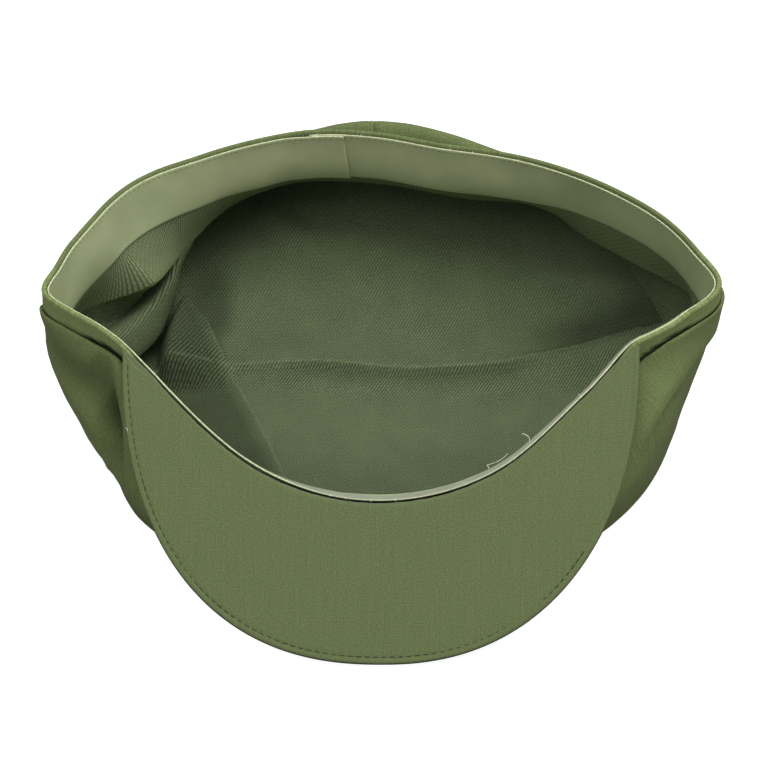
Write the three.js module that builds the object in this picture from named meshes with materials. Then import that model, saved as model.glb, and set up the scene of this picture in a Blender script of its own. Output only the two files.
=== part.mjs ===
// A soft cloth cap with a stiff peak, lying upside down on its crown with its opening up.
// Millimetres, +Z up. The peak points along -Y and its tip comes down to the surface.
// Every upright cut through the cap at one angle about its middle is a section of the table below.
import * as THREE from 'three';

// Driving dimensions, in millimetres, with angles in degrees.
const bandDepth = 38; // head band, from the rim down to its lower seam
const bandThick = 2; // two layers of cloth
const tapeDepth = 20; // sweatband tape, from the rim down
const tapeThick = 1;
const clothThick = 1.2; // crown pieces
const seamGap = 0.3; // clear gap between pieces that are sewn together
const footGap = 0.85; // from the top's edge up to the middle of the side's lower end
const rimHeight = 72; // rim above the surface, where the peak doesn't pull it down
const rimBlend = 4; // roundness of the bend where the rim turns down along the peak
const peakThick = 2.8;
const peakSlope = 37;
const peakHalfWidth = 88;
const peakReach = 110; // down the slope, from the line between the peak's ends to its tip
const peakRoundness = 2.3; // exponent of the outline's superellipse
const peakEndY = -45;
const peakEndHeight = 68.9;
const peakStart = 210; // angle of the peak's end on the left
const peakStop = 330; // and on the right
const peakEndTurn = 2.2; // where the outline starts, as an angle of the superellipse
const seamAngles = { back: 92, left: 189, right: 354 }; // upright seams between the crown's sides
const lapStart = 101; // sweatband's upper end, near the back
const lapAngle = 12; // how far its lower end runs on beneath the upper one
const lapRamp = 9; // angle over which the upper end climbs on to the lower one
const lapSlant = 2.6; // slant of the cut end
const crownRise = 1.5; // power of the crown top's climb from its flat middle to its edge

// One row for each section: its angle, counted from +X towards the back, then radius and height
// values. rim is the opening's edge. tapeIn and bandIn say how far the band has leaned inwards at
// the tape's lower edge and at its own. neck, crest and belly are points that the crown's side
// passes between the band's seam and its foot, where it meets the top. flat is the part of the
// top's radius that lies on the surface.
const columns = ['angle', 'rim', 'tapeIn', 'bandIn', 'neckR', 'neckZ', 'crestR', 'crestZ',
  'bellyR', 'bellyZ', 'footR', 'footZ', 'flat'];
const sections = [
  [92, 60, -1, -5, 68.5, 47, 79, 61, 90, 47, 93, 28, 0.15],
  [112, 67.5, 0, -4, 75, 43, 84, 54, 94, 42, 96.5, 25, 0.18],
  [130, 74, 2, -2, 80, 39, 88, 44, 98, 34, 100, 19, 0.25],
  [147, 85, 5, 3, 87, 31, 92, 34, 100, 24, 104, 12, 0.35],
  [160, 96, 6.5, 8, 93, 25, 86, 31, 91, 15, 106, 7, 0.45],
  [173, 105, 7, 4, 103, 20, 92, 25, 96, 12, 108, 5, 0.5],
  [180, 110, 5, 4, 109.5, 29, 112, 24, 112, 15, 109, 5, 0.5],
  [186, 114, 3, 5, 115, 42, 118, 50, 118.5, 34, 109, 5, 0.5],
  [192, 119.5, 2, 7, 119, 48, 122.5, 60, 120, 40, 109, 5, 0.5],
  [198, 111.5, 2, 8, 111.4, 48, 115, 59, 119, 40, 109, 5, 0.5],
  [208, 98.5, 2, 7, 98.6, 44, 103, 55, 117, 38, 109, 5, 0.5],
  [220, 92, 3, 9, 92, 36, 100, 43, 113, 28, 108.5, 5, 0.5],
  [245, 89.5, 6, 18, 86, 9, 100, 17, 109, 12, 106, 4.5, 0.55],
  [270, 89, 10, 25, 79, 9, 97, 14, 107, 9, 104.5, 4, 0.55],
  [295, 89, 6, 18, 86, 9, 100, 17, 109, 12, 106, 4.5, 0.55],
  [320, 91, 3, 9, 91, 36, 99, 43, 113, 28, 108.5, 5, 0.5],
  [332, 95.5, 2, 7, 96, 44, 100, 55, 116, 38, 109, 5, 0.5],
  [341, 106, 3, 11, 105, 46, 111.5, 59, 117, 40, 109, 5, 0.5],
  [350, 120, 3, 12, 117.4, 47, 122.5, 60, 118.4, 40, 110, 6, 0.5],
  [358, 112.3, -1, 3, 116, 45, 119.5, 55, 118, 37, 109.5, 8, 0.48],
  [367, 104, -2, -1, 109, 42, 114, 50, 116, 34, 109, 11, 0.45],
  [388, 81.5, -3, -6, 92, 43, 98, 49, 105, 37, 104, 19, 0.3],
  [403, 70, -1, -6, 82, 45, 89, 53, 98, 40, 99, 24, 0.22],
  [424, 59.5, 0, -6, 69.5, 47, 78, 60, 89, 47, 94, 28, 0.16],
];
const stepsBetweenRows = 3;

// Folds of the cloth in the crown's top: raised lines from one point to another.
const folds = [
  { name: 'press fold', x0: -82, y0: 4, x1: 100, y1: 34, bend: -9, height: 2.4, width: 13 },
  { name: 'drape fold', x0: -72, y0: 38, x1: -36, y1: -48, bend: 0, height: 4, width: 13 },
];

const radians = Math.PI / 180;
const wrap = (i, n) => ((i % n) + n) % n;

// A column of the table as a smooth function of the angle. The rim is one even curve, and the other
// columns never pass beyond the values of their rows.
function column(name) {
  const k = columns.indexOf(name);
  const n = sections.length;
  const at = i => sections[wrap(i, n)][0] + 360 * Math.floor(i / n);
  const value = i => sections[wrap(i, n)][k];
  const slope = i => {
    const stepBefore = at(i) - at(i - 1);
    const stepAfter = at(i + 1) - at(i);
    const before = (value(i) - value(i - 1)) / stepBefore;
    const after = (value(i + 1) - value(i)) / stepAfter;
    if (name === 'rim') return (before * stepAfter + after * stepBefore) / (stepBefore + stepAfter);
    if (before * after <= 0) return 0;
    return 2 * before * after / (before + after);
  };
  return angle => {
    const a = sections[0][0] + wrap(angle - sections[0][0], 360);
    let i = 0;
    while (at(i + 1) <= a) i += 1;
    const h = at(i + 1) - at(i);
    const t = (a - at(i)) / h;
    const rise = value(i + 1) - value(i);
    const m0 = slope(i) * h;
    const m1 = slope(i + 1) * h;
    return value(i) + m0 * t + (3 * rise - 2 * m0 - m1) * t * t + (m0 + m1 - 2 * rise) * t ** 3;
  };
}
const at = Object.fromEntries(columns.slice(1).map(name => [name, column(name)]));

const inSection = (angle, r, z) => new THREE.Vector3(
  r * Math.cos(angle * radians), r * Math.sin(angle * radians), z);

// Height of the peak's plane above the surface, at a distance y from the cap's middle.
const peakPlane = y => peakEndHeight + (y - peakEndY) * Math.tan(peakSlope * radians);

// Level direction square to the rim and away from the opening.
function rimOut(angle) {
  const before = inSection(angle - 1, at.rim(angle - 1), 0);
  const after = inSection(angle + 1, at.rim(angle + 1), 0);
  return new THREE.Vector3(after.y - before.y, before.x - after.x, 0).normalize();
}

// Height of the rim: level, and turned down along the peak's plane.
function rimZ(angle) {
  const plane = peakPlane(at.rim(angle) * Math.sin(angle * radians));
  const gap = Math.min(Math.max(0.5 + (plane - rimHeight) / (2 * rimBlend), 0), 1);
  return plane + (rimHeight - plane) * gap - rimBlend * gap * (1 - gap);
}

// The band's cut at one angle: rim, tape's lower edge and band's lower edge, as radius and height.
function bandCut(angle) {
  const rim = new THREE.Vector2(at.rim(angle), rimZ(angle));
  const tapeIn = at.tapeIn(angle);
  const leanBelow = at.bandIn(angle) - tapeIn;
  const tape = new THREE.Vector2(rim.x - tapeIn, rim.y - Math.sqrt(tapeDepth ** 2 - tapeIn ** 2));
  const below = bandDepth - tapeDepth;
  const low = new THREE.Vector2(tape.x - leanBelow,
    tape.y - Math.sqrt(below ** 2 - leanBelow ** 2));
  return [rim, tape, low];
}

// The crown side's cut: it starts square to the band just past the band's lower edge, turns out
// and runs down to its foot, just above the edge of the crown's top.
function sideCut(angle) {
  const [, tape, low] = bandCut(angle);
  const onward = low.clone().sub(tape).normalize();
  const outward = new THREE.Vector2(-onward.y, onward.x);
  const start = low.clone().addScaledVector(onward, seamGap + clothThick / 2 + 0.5);
  return [
    start.clone().addScaledVector(outward, -bandThick / 4),
    start.clone().addScaledVector(outward, bandThick / 2 + clothThick),
    new THREE.Vector2(at.neckR(angle), at.neckZ(angle)),
    new THREE.Vector2(at.crestR(angle), at.crestZ(angle)),
    new THREE.Vector2(at.bellyR(angle), at.bellyZ(angle)),
    new THREE.Vector2(at.footR(angle), at.footZ(angle) + clothThick / 2 + footGap),
  ];
}

// Points on a smooth line through a cut, a number of steps for each span between its points.
function alongCut(cut, angle, steps) {
  const line = new THREE.CatmullRomCurve3(cut.map(p => new THREE.Vector3(p.x, 0, p.y)),
    false, 'centripetal');
  const count = (cut.length - 1) * steps;
  return Array.from({ length: count + 1 }, (_, i) => {
    const p = line.getPoint(i / count);
    return inSection(angle, p.x, p.z);
  });
}

// Section angles from one to another, at even parts of the gaps between the table's rows.
function anglesBetween(start, stop, steps = stepsBetweenRows) {
  const angles = [start];
  for (let turn = -1; turn <= 1; turn += 1) {
    sections.forEach((row, i) => {
      const next = i + 1 < sections.length ? sections[i + 1][0] : sections[0][0] + 360;
      for (let s = 0; s < steps; s += 1) {
        const angle = row[0] + (next - row[0]) * s / steps + 360 * turn;
        if (angle > start + 0.8 && angle < stop - 0.8) angles.push(angle);
      }
    });
  }
  return [...angles, stop];
}

// Unit normals of a grid of points, one line of points for each section angle.
function gridNormals(lines, ring) {
  const n = lines.length;
  const m = lines[0].length;
  return lines.map((line, i) => line.map((_, j) => {
    const before = ring ? wrap(i - 1, n - 1) : Math.max(i - 1, 0);
    const after = ring ? wrap(i + 1, n - 1) : Math.min(i + 1, n - 1);
    const across = lines[after][j].clone().sub(lines[before][j]);
    const down = line[Math.min(j + 1, m - 1)].clone().sub(line[Math.max(j - 1, 0)]);
    return across.cross(down).normalize();
  }));
}

// The same grid moved along its normals.
function moved(lines, normals, distance) {
  return lines.map((line, i) => line.map((p, j) => p.clone().addScaledVector(normals[i][j], distance)));
}

// A closed solid between two grids of points of the same size.
function solidBetween(front, back, ring) {
  const n = front.length;
  const m = front[0].length;
  const corners = [];
  const same = (a, b) => a.distanceToSquared(b) < 1e-8;
  const triangle = (a, b, c) => {
    if (!same(a, b) && !same(b, c) && !same(c, a)) corners.push(a, b, c);
  };
  const quad = (a, b, c, d) => {
    triangle(a, b, c);
    triangle(a, c, d);
  };
  for (let i = 0; i + 1 < n; i += 1) {
    for (let j = 0; j + 1 < m; j += 1) {
      quad(front[i][j], front[i][j + 1], front[i + 1][j + 1], front[i + 1][j]);
      quad(back[i][j], back[i + 1][j], back[i + 1][j + 1], back[i][j + 1]);
    }
    quad(front[i][0], front[i + 1][0], back[i + 1][0], back[i][0]);
    quad(front[i + 1][m - 1], front[i][m - 1], back[i][m - 1], back[i + 1][m - 1]);
  }
  for (let j = 0; !ring && j + 1 < m; j += 1) {
    quad(front[0][j + 1], front[0][j], back[0][j], back[0][j + 1]);
    quad(front[n - 1][j], front[n - 1][j + 1], back[n - 1][j + 1], back[n - 1][j]);
  }
  let volume = 0;
  for (let i = 0; i < corners.length; i += 3) {
    volume += corners[i].dot(corners[i + 1].clone().cross(corners[i + 2]));
  }
  if (volume < 0) corners.reverse();
  return new THREE.BufferGeometry().setFromPoints(corners);
}

// A sheet of one thickness about a grid of points.
function sheet(lines, thick, ring) {
  const normals = gridNormals(lines, ring);
  return solidBetween(moved(lines, normals, thick / 2), moved(lines, normals, -thick / 2), ring);
}

const cap = new THREE.Group();
function addPiece(name, geometry, color, roughness) {
  geometry.computeVertexNormals();
  const piece = new THREE.Mesh(geometry,
    new THREE.MeshStandardMaterial({ color, roughness, metalness: 0 }));
  piece.name = name;
  cap.add(piece);
}

// Closes a ring of angles on its own first section, so that both ends meet exactly.
const closeRing = lines => [...lines.slice(0, -1), lines[0]];

// Head band: a closed strip from the rim to the seam with the crown's sides.
const bandLines = closeRing(anglesBetween(92, 452).map(a => alongCut(bandCut(a), a, 2)));
addPiece('band', sheet(bandLines, bandThick, true), '#65703f', 0.85);

// Sweatband: a tape inside the band, whose upper end laps over its lower one near the back.
function sweatband() {
  const inward = bandThick / 2 + seamGap + tapeThick / 2 + 0.15;
  const lapStep = tapeThick + seamGap;
  const angles = anglesBetween(lapStart, lapStart + 360 + lapAngle);
  const lines = angles.map(a => alongCut(bandCut(a), a, 2));
  const normals = gridNormals(lines, false);
  const middle = lines.map((line, i) => {
    const past = (angles[i] - lapStart - lapAngle) / lapRamp;
    const climb = lapStep * THREE.MathUtils.smoothstep(1 - past, 0, 1);
    const slant = i === 0 ? lapSlant : 0;
    return line.slice(0, 3).map((p, j) => {
      const spot = p.clone().addScaledVector(normals[i][j], inward + climb);
      spot.x += slant * (j / 2 - 0.5);
      spot.z -= 0.5 * (1 - j / 2);
      return spot;
    });
  });
  return sheet(middle, tapeThick, false);
}
addPiece('sweatband', sweatband(), '#818a63', 0.45);

// Crown sides: a front piece and two back pieces, with an upright gap at each seam. The normals
// come from the whole ring, so that the pieces' ends face each other squarely.
function crownSides() {
  const { back, left, right } = seamAngles;
  const pieces = [
    { name: 'crown_side_back_left', start: back, stop: left, color: '#56623a' },
    { name: 'crown_side_front', start: left, stop: right, color: '#5c6840' },
    { name: 'crown_side_back_right', start: right, stop: back + 360, color: '#59653d' },
  ];
  const trim = angle => 1.3 * seamGap / (at.footR(angle) * radians);
  const ring = pieces.flatMap(piece => {
    piece.angles = anglesBetween(piece.start + trim(piece.start), piece.stop - trim(piece.stop));
    return piece.angles.map(a => alongCut(sideCut(a), a, 2));
  });
  const normals = gridNormals([...ring, ring[0]], true);
  let first = 0;
  for (const { name, angles, color } of pieces) {
    const lines = ring.slice(first, first + angles.length);
    const out = normals.slice(first, first + angles.length);
    const half = clothThick / 2;
    addPiece(name, solidBetween(moved(lines, out, half), moved(lines, out, -half), false), color, 0.9);
    first += angles.length;
  }
}
crownSides();

// How far the folds lift the crown's top at one place.
function foldLift(x, y) {
  let lift = 0;
  for (const fold of folds) {
    const alongX = fold.x1 - fold.x0;
    const alongY = fold.y1 - fold.y0;
    const length = Math.hypot(alongX, alongY);
    const t = ((x - fold.x0) * alongX + (y - fold.y0) * alongY) / length ** 2;
    const off = ((x - fold.x0) * alongY - (y - fold.y0) * alongX) / length;
    const bow = 4 * fold.bend * t * (1 - t);
    const ends = Math.min(1, Math.max(0, 6 * t)) * Math.min(1, Math.max(0, 6 * (1 - t)));
    lift += fold.height * ends * Math.max(0, 1 - ((off + bow) / fold.width) ** 2) ** 2;
  }
  return lift;
}

// Crown top: a soft round sheet that lies on the surface in its middle and climbs to its edge.
function crownTop() {
  const edgeOut = clothThick / 2 - seamGap;
  const rings = 12;
  const lines = anglesBetween(92, 452).map(angle => Array.from({ length: rings + 1 }, (_, k) => {
    const f = k / rings;
    const r = f * (at.footR(angle) + edgeOut);
    const flat = at.flat(angle);
    const climb = Math.max(0, (f - flat) / (1 - flat)) ** crownRise;
    const spot = inSection(angle, r, 0);
    const lift = foldLift(spot.x, spot.y) * Math.min(1, 5 * (1 - f));
    spot.z = (at.footZ(angle) - clothThick / 2) * climb + lift;
    return spot;
  }));
  const closed = closeRing(lines);
  const raised = closed.map(line => line.map(p => new THREE.Vector3(p.x, p.y, p.z + clothThick)));
  return solidBetween(closed, raised, true);
}
addPiece('crown_top', crownTop(), '#4f5b3c', 0.9);

// Peak: a stiff crescent in one sloping plane, from the band's rim out to a superellipse.
function peak() {
  const slope = peakSlope * radians;
  const innerGap = bandThick / 2 + seamGap + 0.55;
  const power = 2 / peakRoundness;
  const sweep = anglesBetween(peakStart, peakStop, 6);
  const steps = 5;
  const lines = sweep.map(angle => {
    const along = (angle - peakStart) / (peakStop - peakStart);
    const turn = (peakEndTurn + along * (180 - 2 * peakEndTurn)) * radians;
    const across = -Math.cos(turn);
    const outX = peakHalfWidth * Math.sign(across) * Math.abs(across) ** power;
    const outV = peakReach * Math.sin(turn) ** power;
    const outer = new THREE.Vector2(outX, peakEndY - outV * Math.cos(slope));
    const inner = inSection(angle, at.rim(angle), 0).addScaledVector(rimOut(angle), innerGap);
    return Array.from({ length: steps + 1 }, (_, k) => {
      const x = THREE.MathUtils.lerp(inner.x, outer.x, k / steps);
      const y = THREE.MathUtils.lerp(inner.y, outer.y, k / steps);
      return new THREE.Vector3(x, y, peakPlane(y) - peakThick / 2);
    });
  });
  return sheet(lines, peakThick, false);
}
addPiece('peak', peak(), '#66724e', 0.8);

// The part's origin is the middle of its box, on the surface that it lies on.
const box = new THREE.Box3().setFromObject(cap);
const middle = box.getCenter(new THREE.Vector3());
cap.position.set(-middle.x, -middle.y, -box.min.z);

export default cap;
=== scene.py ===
# A soft cloth cap with a stiff peak, lying upside down on its crown: cloth, tape, seams and stitches.
import math

import bpy
import numpy as np
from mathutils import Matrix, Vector, noise


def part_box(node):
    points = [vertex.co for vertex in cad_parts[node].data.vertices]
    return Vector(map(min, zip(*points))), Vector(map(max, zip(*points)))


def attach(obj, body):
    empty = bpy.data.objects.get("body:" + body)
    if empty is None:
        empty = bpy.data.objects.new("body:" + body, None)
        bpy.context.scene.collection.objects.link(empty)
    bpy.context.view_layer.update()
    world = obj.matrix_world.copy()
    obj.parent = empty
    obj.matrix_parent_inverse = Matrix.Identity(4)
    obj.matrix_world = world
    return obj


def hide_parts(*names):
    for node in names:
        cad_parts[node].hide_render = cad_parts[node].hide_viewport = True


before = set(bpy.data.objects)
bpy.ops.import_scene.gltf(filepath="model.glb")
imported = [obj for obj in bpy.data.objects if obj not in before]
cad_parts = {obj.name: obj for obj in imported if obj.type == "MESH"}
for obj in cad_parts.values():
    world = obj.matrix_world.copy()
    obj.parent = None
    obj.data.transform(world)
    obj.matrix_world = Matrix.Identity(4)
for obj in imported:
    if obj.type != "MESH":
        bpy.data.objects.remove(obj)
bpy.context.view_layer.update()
mm = 0.001

# The cap's form, in millimetres and degrees. Every upright cut through it at one angle, counted
# from +X towards the back about the cap's middle, is a section of the table.
form = {
    "bandDepth": 38.0,
    "tapeDepth": 20.0,
    "rimHeight": 72.0,
    "rimBlend": 4.0,
    "rimDip": 1.6,
    "rimDipAt": 337.0,
    "rimDipHalf": (0.9, 6.0),
    "peakSlope": 37.0,
    "peakThick": 2.8,
    "peakMiddle": 1.2,
    "peakHalfWidths": (88.4, 87.0),
    "peakReach": 108.6,
    "peakRoundness": (2.36, 2.24),
    "cadPeakReach": 110.0,
    "peakEndY": -45.0,
    "peakEndHeight": 68.9,
    "peakStart": 207.6,
    "peakStop": 332.4,
    "peakEndTurn": 0.4,
    "seams": {"back": 92.0, "left": 189.0, "right": 354.0},
}
columns = ["angle", "rim", "tapeIn", "bandIn", "neckR", "neckZ", "foldR", "foldZ", "crestR", "crestZ",
           "bellyR", "bellyZ", "footR", "footZ", "flat"]
sections = np.array([
    [92, 60.4, -0.6, -12.6, 73.5, 46, 75, 55, 80, 61, 90, 47, 93, 28, 0.15],
    [112, 66.5, -1, -13, 80.5, 44.5, 82, 50, 86, 54, 94, 42, 96.5, 25, 0.18],
    [130, 72.8, 0.8, -10.2, 85.5, 41.5, 87, 44.5, 90, 45.5, 98, 34, 100, 19, 0.25],
    [138, 76.9, 1.1, -6.9, 87, 35.5, 88.5, 36, 91, 37, 98.5, 27, 102, 15, 0.3],
    [147, 82.8, 2.8, -0.7, 87, 32, 85.6, 29, 90, 25, 98, 18, 104, 12, 0.35],
    [154, 89.4, 4.4, 5.9, 89, 28, 84, 30, 85.5, 20, 97, 14, 105, 9, 0.4],
    [160, 94.6, 5.1, 11.6, 91, 24, 82.8, 28.5, 83, 17.5, 97, 11.5, 106, 7, 0.45],
    [168, 99.9, 4.9, 15.4, 95, 21, 84.5, 27.5, 83, 14.5, 98, 9.5, 107.5, 5.5, 0.5],
    [172, 102.2, 4.8, 5.8, 99, 21, 86.6, 27, 84, 14.5, 99, 9.5, 108, 5, 0.5],
    [177, 105.8, 4.1, -1.9, 107, 23, 90.5, 27, 87, 15, 102, 10, 108.5, 5, 0.5],
    [181, 109.2, 3.5, -4.5, 114.5, 31, 95, 28, 91, 17, 106, 11, 109, 5, 0.5],
    [186, 113, 2.4, -1.6, 114.8, 39, 115, 46, 118, 53, 118.2, 34, 108.5, 5, 0.5],
    [192, 118.2, 2.2, 7.2, 114.8, 43, 116.4, 50, 120, 63.6, 118.4, 41, 108.5, 5, 0.5],
    [198, 111.4, 2.1, 8.1, 110.4, 43, 112.2, 51, 113.6, 64.4, 117, 40, 107.5, 5, 0.5],
    [203, 104.6, 2.4, 8.3, 104.8, 42, 106.6, 50, 106.9, 64.2, 116, 40, 105, 5, 0.5],
    [208, 99.2, 2.7, 7.7, 99.4, 41, 101, 48, 101.4, 61.6, 114.4, 39, 105.4, 5, 0.5],
    [214, 94.9, 2.7, 7.9, 94.6, 40, 96.4, 47.5, 100, 51, 113, 33, 107.2, 5, 0.5],
    [220, 92.9, 3.9, 9.9, 92, 36, 95, 41, 100, 43, 112.5, 28, 108.5, 5, 0.5],
    [245, 90.1, 6.6, 18.6, 86, 9, 92, 16, 100, 17, 109, 12, 106, 4.5, 0.55],
    [270, 89.1, 10.1, 25.1, 79, 9, 87, 13.5, 97, 14, 107, 9, 104.5, 4, 0.55],
    [295, 90.1, 7.1, 19.1, 86, 9, 92, 16, 100, 17, 109, 12, 106, 4.5, 0.55],
    [320, 92.4, 4.4, 10.4, 91, 36, 94.5, 41, 99, 43, 112, 28, 108.5, 5, 0.5],
    [332, 98.5, 3, 8, 97.4, 39, 99.2, 46, 100.2, 57.5, 113, 38, 109, 5, 0.5],
    [341, 110.8, 2.6, 10, 107, 42, 110.2, 50, 112.6, 65.2, 113, 40, 109, 5, 0.5],
    [350, 119.5, 2.2, 9, 113.4, 43, 117, 52, 121.2, 65, 117, 42, 110, 6, 0.5],
    [358, 111.5, -2.2, -2.2, 113.2, 44, 114.4, 50, 118.8, 60, 117.8, 39, 109.5, 8, 0.48],
    [367, 102.4, -3.8, -11.6, 113.8, 41, 114.6, 45, 118, 48.5, 118.2, 34, 109, 11, 0.45],
    [378, 90.1, -4.2, -9.7, 104, 39, 105, 43, 106.5, 46, 110, 35, 106.5, 15, 0.38],
    [388, 80.5, -4, -10.5, 95, 41, 96, 45, 98.5, 48.5, 105, 37, 104, 19, 0.3],
    [403, 69.2, -1.8, -14.8, 85.5, 44, 86.5, 49, 90, 52, 98, 40, 99, 24, 0.22],
    [424, 59, -0.5, -12.5, 73.5, 46, 74.5, 52.5, 79, 57.8, 89, 47, 94, 28, 0.16],
], float)


def smooth(value, low, high):  # 0 at low, 1 at high, with soft ends
    t = np.clip((np.asarray(value, float) - low) / (high - low), 0, 1)
    return t * t * (3 - 2 * t)


def between(value, start, full, fade, stop):  # 1 from full to fade, 0 up to start and after stop
    return smooth(value, start, full) * (1 - smooth(value, fade, stop))


def columnOf(name):  # one column of the table as a smooth function of the angle
    angles = sections[:, 0]
    values = sections[:, columns.index(name)]
    around = np.append(angles, angles[0] + 360)
    heights = np.append(values, values[0])
    steps = np.diff(around)
    after = np.diff(heights) / steps
    before = np.roll(after, 1)
    stepsBefore = np.roll(steps, 1)
    if name == "rim":  # the rim is one even curve
        slopes = (before * steps + after * stepsBefore) / (steps + stepsBefore)
    else:  # the others never pass beyond their rows
        same = before * after > 0
        slopes = np.where(same, 2 * before * after / np.where(same, before + after, 1), 0)
    slopes = np.append(slopes, slopes[0])

    def value(angle):
        a = angles[0] + np.mod(np.asarray(angle, float) - angles[0], 360)
        i = np.clip(np.searchsorted(around, a, side="right") - 1, 0, len(angles) - 1)
        h = steps[i]
        t = (a - around[i]) / h
        rise = heights[i + 1] - heights[i]
        m0 = slopes[i] * h
        m1 = slopes[i + 1] * h
        return heights[i] + m0 * t + (3 * rise - 2 * m0 - m1) * t ** 2 + (m0 + m1 - 2 * rise) * t ** 3

    return value


at = {name: columnOf(name) for name in columns[1:]}


def inSection(angle, r, z):  # the point of the section at that angle, with that radius and height
    turn = np.radians(angle)
    return np.stack(np.broadcast_arrays(r * np.cos(turn), r * np.sin(turn), z), -1)


def peakPlane(y):  # height of the peak's plane
    return form["peakEndHeight"] + (y - form["peakEndY"]) * math.tan(math.radians(form["peakSlope"]))


def rimOut(angle):  # level direction square to the rim, away from the opening
    across = inSection(angle + 1, at["rim"](angle + 1), 0) - inSection(angle - 1, at["rim"](angle - 1), 0)
    out = np.stack([across[..., 1], -across[..., 0], 0 * across[..., 0]], -1)
    return out / np.linalg.norm(out, axis=-1, keepdims=True)


def rimZ(angle):  # level, and turned down along the peak
    plane = peakPlane(at["rim"](angle) * np.sin(np.radians(angle)))
    gap = np.clip(0.5 + (plane - form["rimHeight"]) / (2 * form["rimBlend"]), 0, 1)
    away = np.mod(angle - form["rimDipAt"] + 180, 360) - 180
    dip = form["rimDip"] * (1 - smooth(np.abs(away), *form["rimDipHalf"]))
    return plane + (form["rimHeight"] - plane) * gap - form["rimBlend"] * gap * (1 - gap) - dip


def bandCut(angle):  # rim, tape's lower edge and band's lower edge, as radius and height
    tapeIn = at["tapeIn"](angle)
    lean = at["bandIn"](angle) - tapeIn
    below = form["bandDepth"] - form["tapeDepth"]
    rim = np.stack([at["rim"](angle), rimZ(angle)], -1)
    tape = rim - np.stack([tapeIn, np.sqrt(form["tapeDepth"] ** 2 - tapeIn ** 2)], -1)
    low = tape - np.stack([lean, np.sqrt(below ** 2 - lean ** 2)], -1)
    return np.stack([rim, tape, low], -2)


def sideCut(angle):  # crown's side: from the band's seam over its crest down to its foot
    cut = bandCut(angle)
    tape, low = cut[..., 1, :], cut[..., 2, :]
    onward = (low - tape) / np.linalg.norm(low - tape, axis=-1, keepdims=True)
    outward = np.stack([-onward[..., 1], onward[..., 0]], -1)
    start = low + onward * side["seamDrop"]
    room = (at["bellyR"](angle) - low[..., 0] - side["bellyGap"])[..., None]
    turned = np.where(room > side["roomy"], side["seamTurn"], np.clip(room, 0.3, side["seamTurn"]))
    points = [start - outward * side["seamTuck"], start + outward * turned]
    for name in ("neck", "fold", "crest", "belly"):
        points.append(np.stack([at[name + "R"](angle), at[name + "Z"](angle)], -1))
    points.append(np.stack([at["footR"](angle), at["footZ"](angle) + side["footLift"]], -1))
    return np.stack(points, -2)


def alongCut(cut, steps):  # a smooth line through each cut's points
    count = cut.shape[-2]
    first = 2 * cut[..., :1, :] - cut[..., 1:2, :]
    last = 2 * cut[..., -1:, :] - cut[..., -2:-1, :]
    p = np.concatenate([first, cut, last], -2)
    gaps = np.maximum(np.linalg.norm(np.diff(p, axis=-2), axis=-1) ** 0.5, 1e-4)
    out = []
    for k in range(count - 1):
        p0, p1, p2, p3 = (p[..., k + i, :] for i in range(4))
        d0, d1, d2 = (gaps[..., k + i, None] for i in range(3))
        t1 = ((p1 - p0) / d0 - (p2 - p0) / (d0 + d1) + (p2 - p1) / d1) * d1
        t2 = ((p2 - p1) / d1 - (p3 - p1) / (d1 + d2) + (p3 - p2) / d2) * d1
        for s in range(steps + (k == count - 2)):
            t = s / steps
            out.append(p1 + t1 * t + (3 * (p2 - p1) - 2 * t1 - t2) * t ** 2
                       + (2 * (p1 - p2) + t1 + t2) * t ** 3)
    return np.stack(out, -2)


def anglesBetween(start, stop, steps):  # even parts of the gaps between the table's rows
    apart = 0.2  # degrees, the least distance from both ends
    angles = sections[:, 0]
    around = np.append(angles, angles[0] + 360)
    ring = np.concatenate([np.linspace(a, b, steps, endpoint=False) for a, b in zip(around, around[1:])])
    many = np.concatenate([ring - 360, ring, ring + 360])
    inside = many[(many > start + apart) & (many < stop - apart)]
    return np.concatenate([[start], inside, [stop]])


def grain(points, size, seed):  # soft noise of about -1 to 1, with lumps of that size in mm
    offset = Vector((seed * 17.3, seed * 5.1, seed * 9.7))
    flat = points.reshape(-1, 3)
    values = [noise.noise(Vector(p) / size + offset) for p in flat]
    return np.array(values).reshape(points.shape[:-1])


def outwardNormals(lines, ring):  # one for each point of a grid, whose first line is its last in a ring
    if ring:
        across = np.roll(lines, -1, 0) - np.roll(lines, 1, 0)
        across[0] = lines[1] - lines[-2]
        across[-1] = across[0]
    else:
        across = np.gradient(lines, axis=0)
    down = np.gradient(lines, axis=1)
    normals = np.cross(down, across)
    return normals / np.maximum(np.linalg.norm(normals, axis=-1, keepdims=True), 1e-9)


def arcLength(points, axis):  # distance run along one axis of a grid of points
    steps = np.linalg.norm(np.diff(points, axis=axis), axis=-1)
    pad = [(0, 0)] * steps.ndim
    pad[axis] = (1, 0)
    return np.cumsum(np.pad(steps, pad), axis=axis)


peakBox = [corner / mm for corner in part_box("peak")]
tipDrop = math.cos(math.radians(form["peakSlope"])) * form["cadPeakReach"]
tipFace = math.sin(math.radians(form["peakSlope"])) * form["peakThick"] / 2
shift = np.array([
    (peakBox[0].x + peakBox[1].x) / 2,
    peakBox[0].y - (form["peakEndY"] - tipDrop - tipFace),
    0.0,
])  # from the middle that the table counts from to the part's own origin


def linear(colour):  # sRGB hex to linear
    parts = [int(colour[i:i + 2], 16) / 255 for i in (1, 3, 5)]
    return tuple(c / 12.92 if c <= 0.04045 else ((c + 0.055) / 1.055) ** 2.4 for c in parts) + (1.0,)


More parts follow.
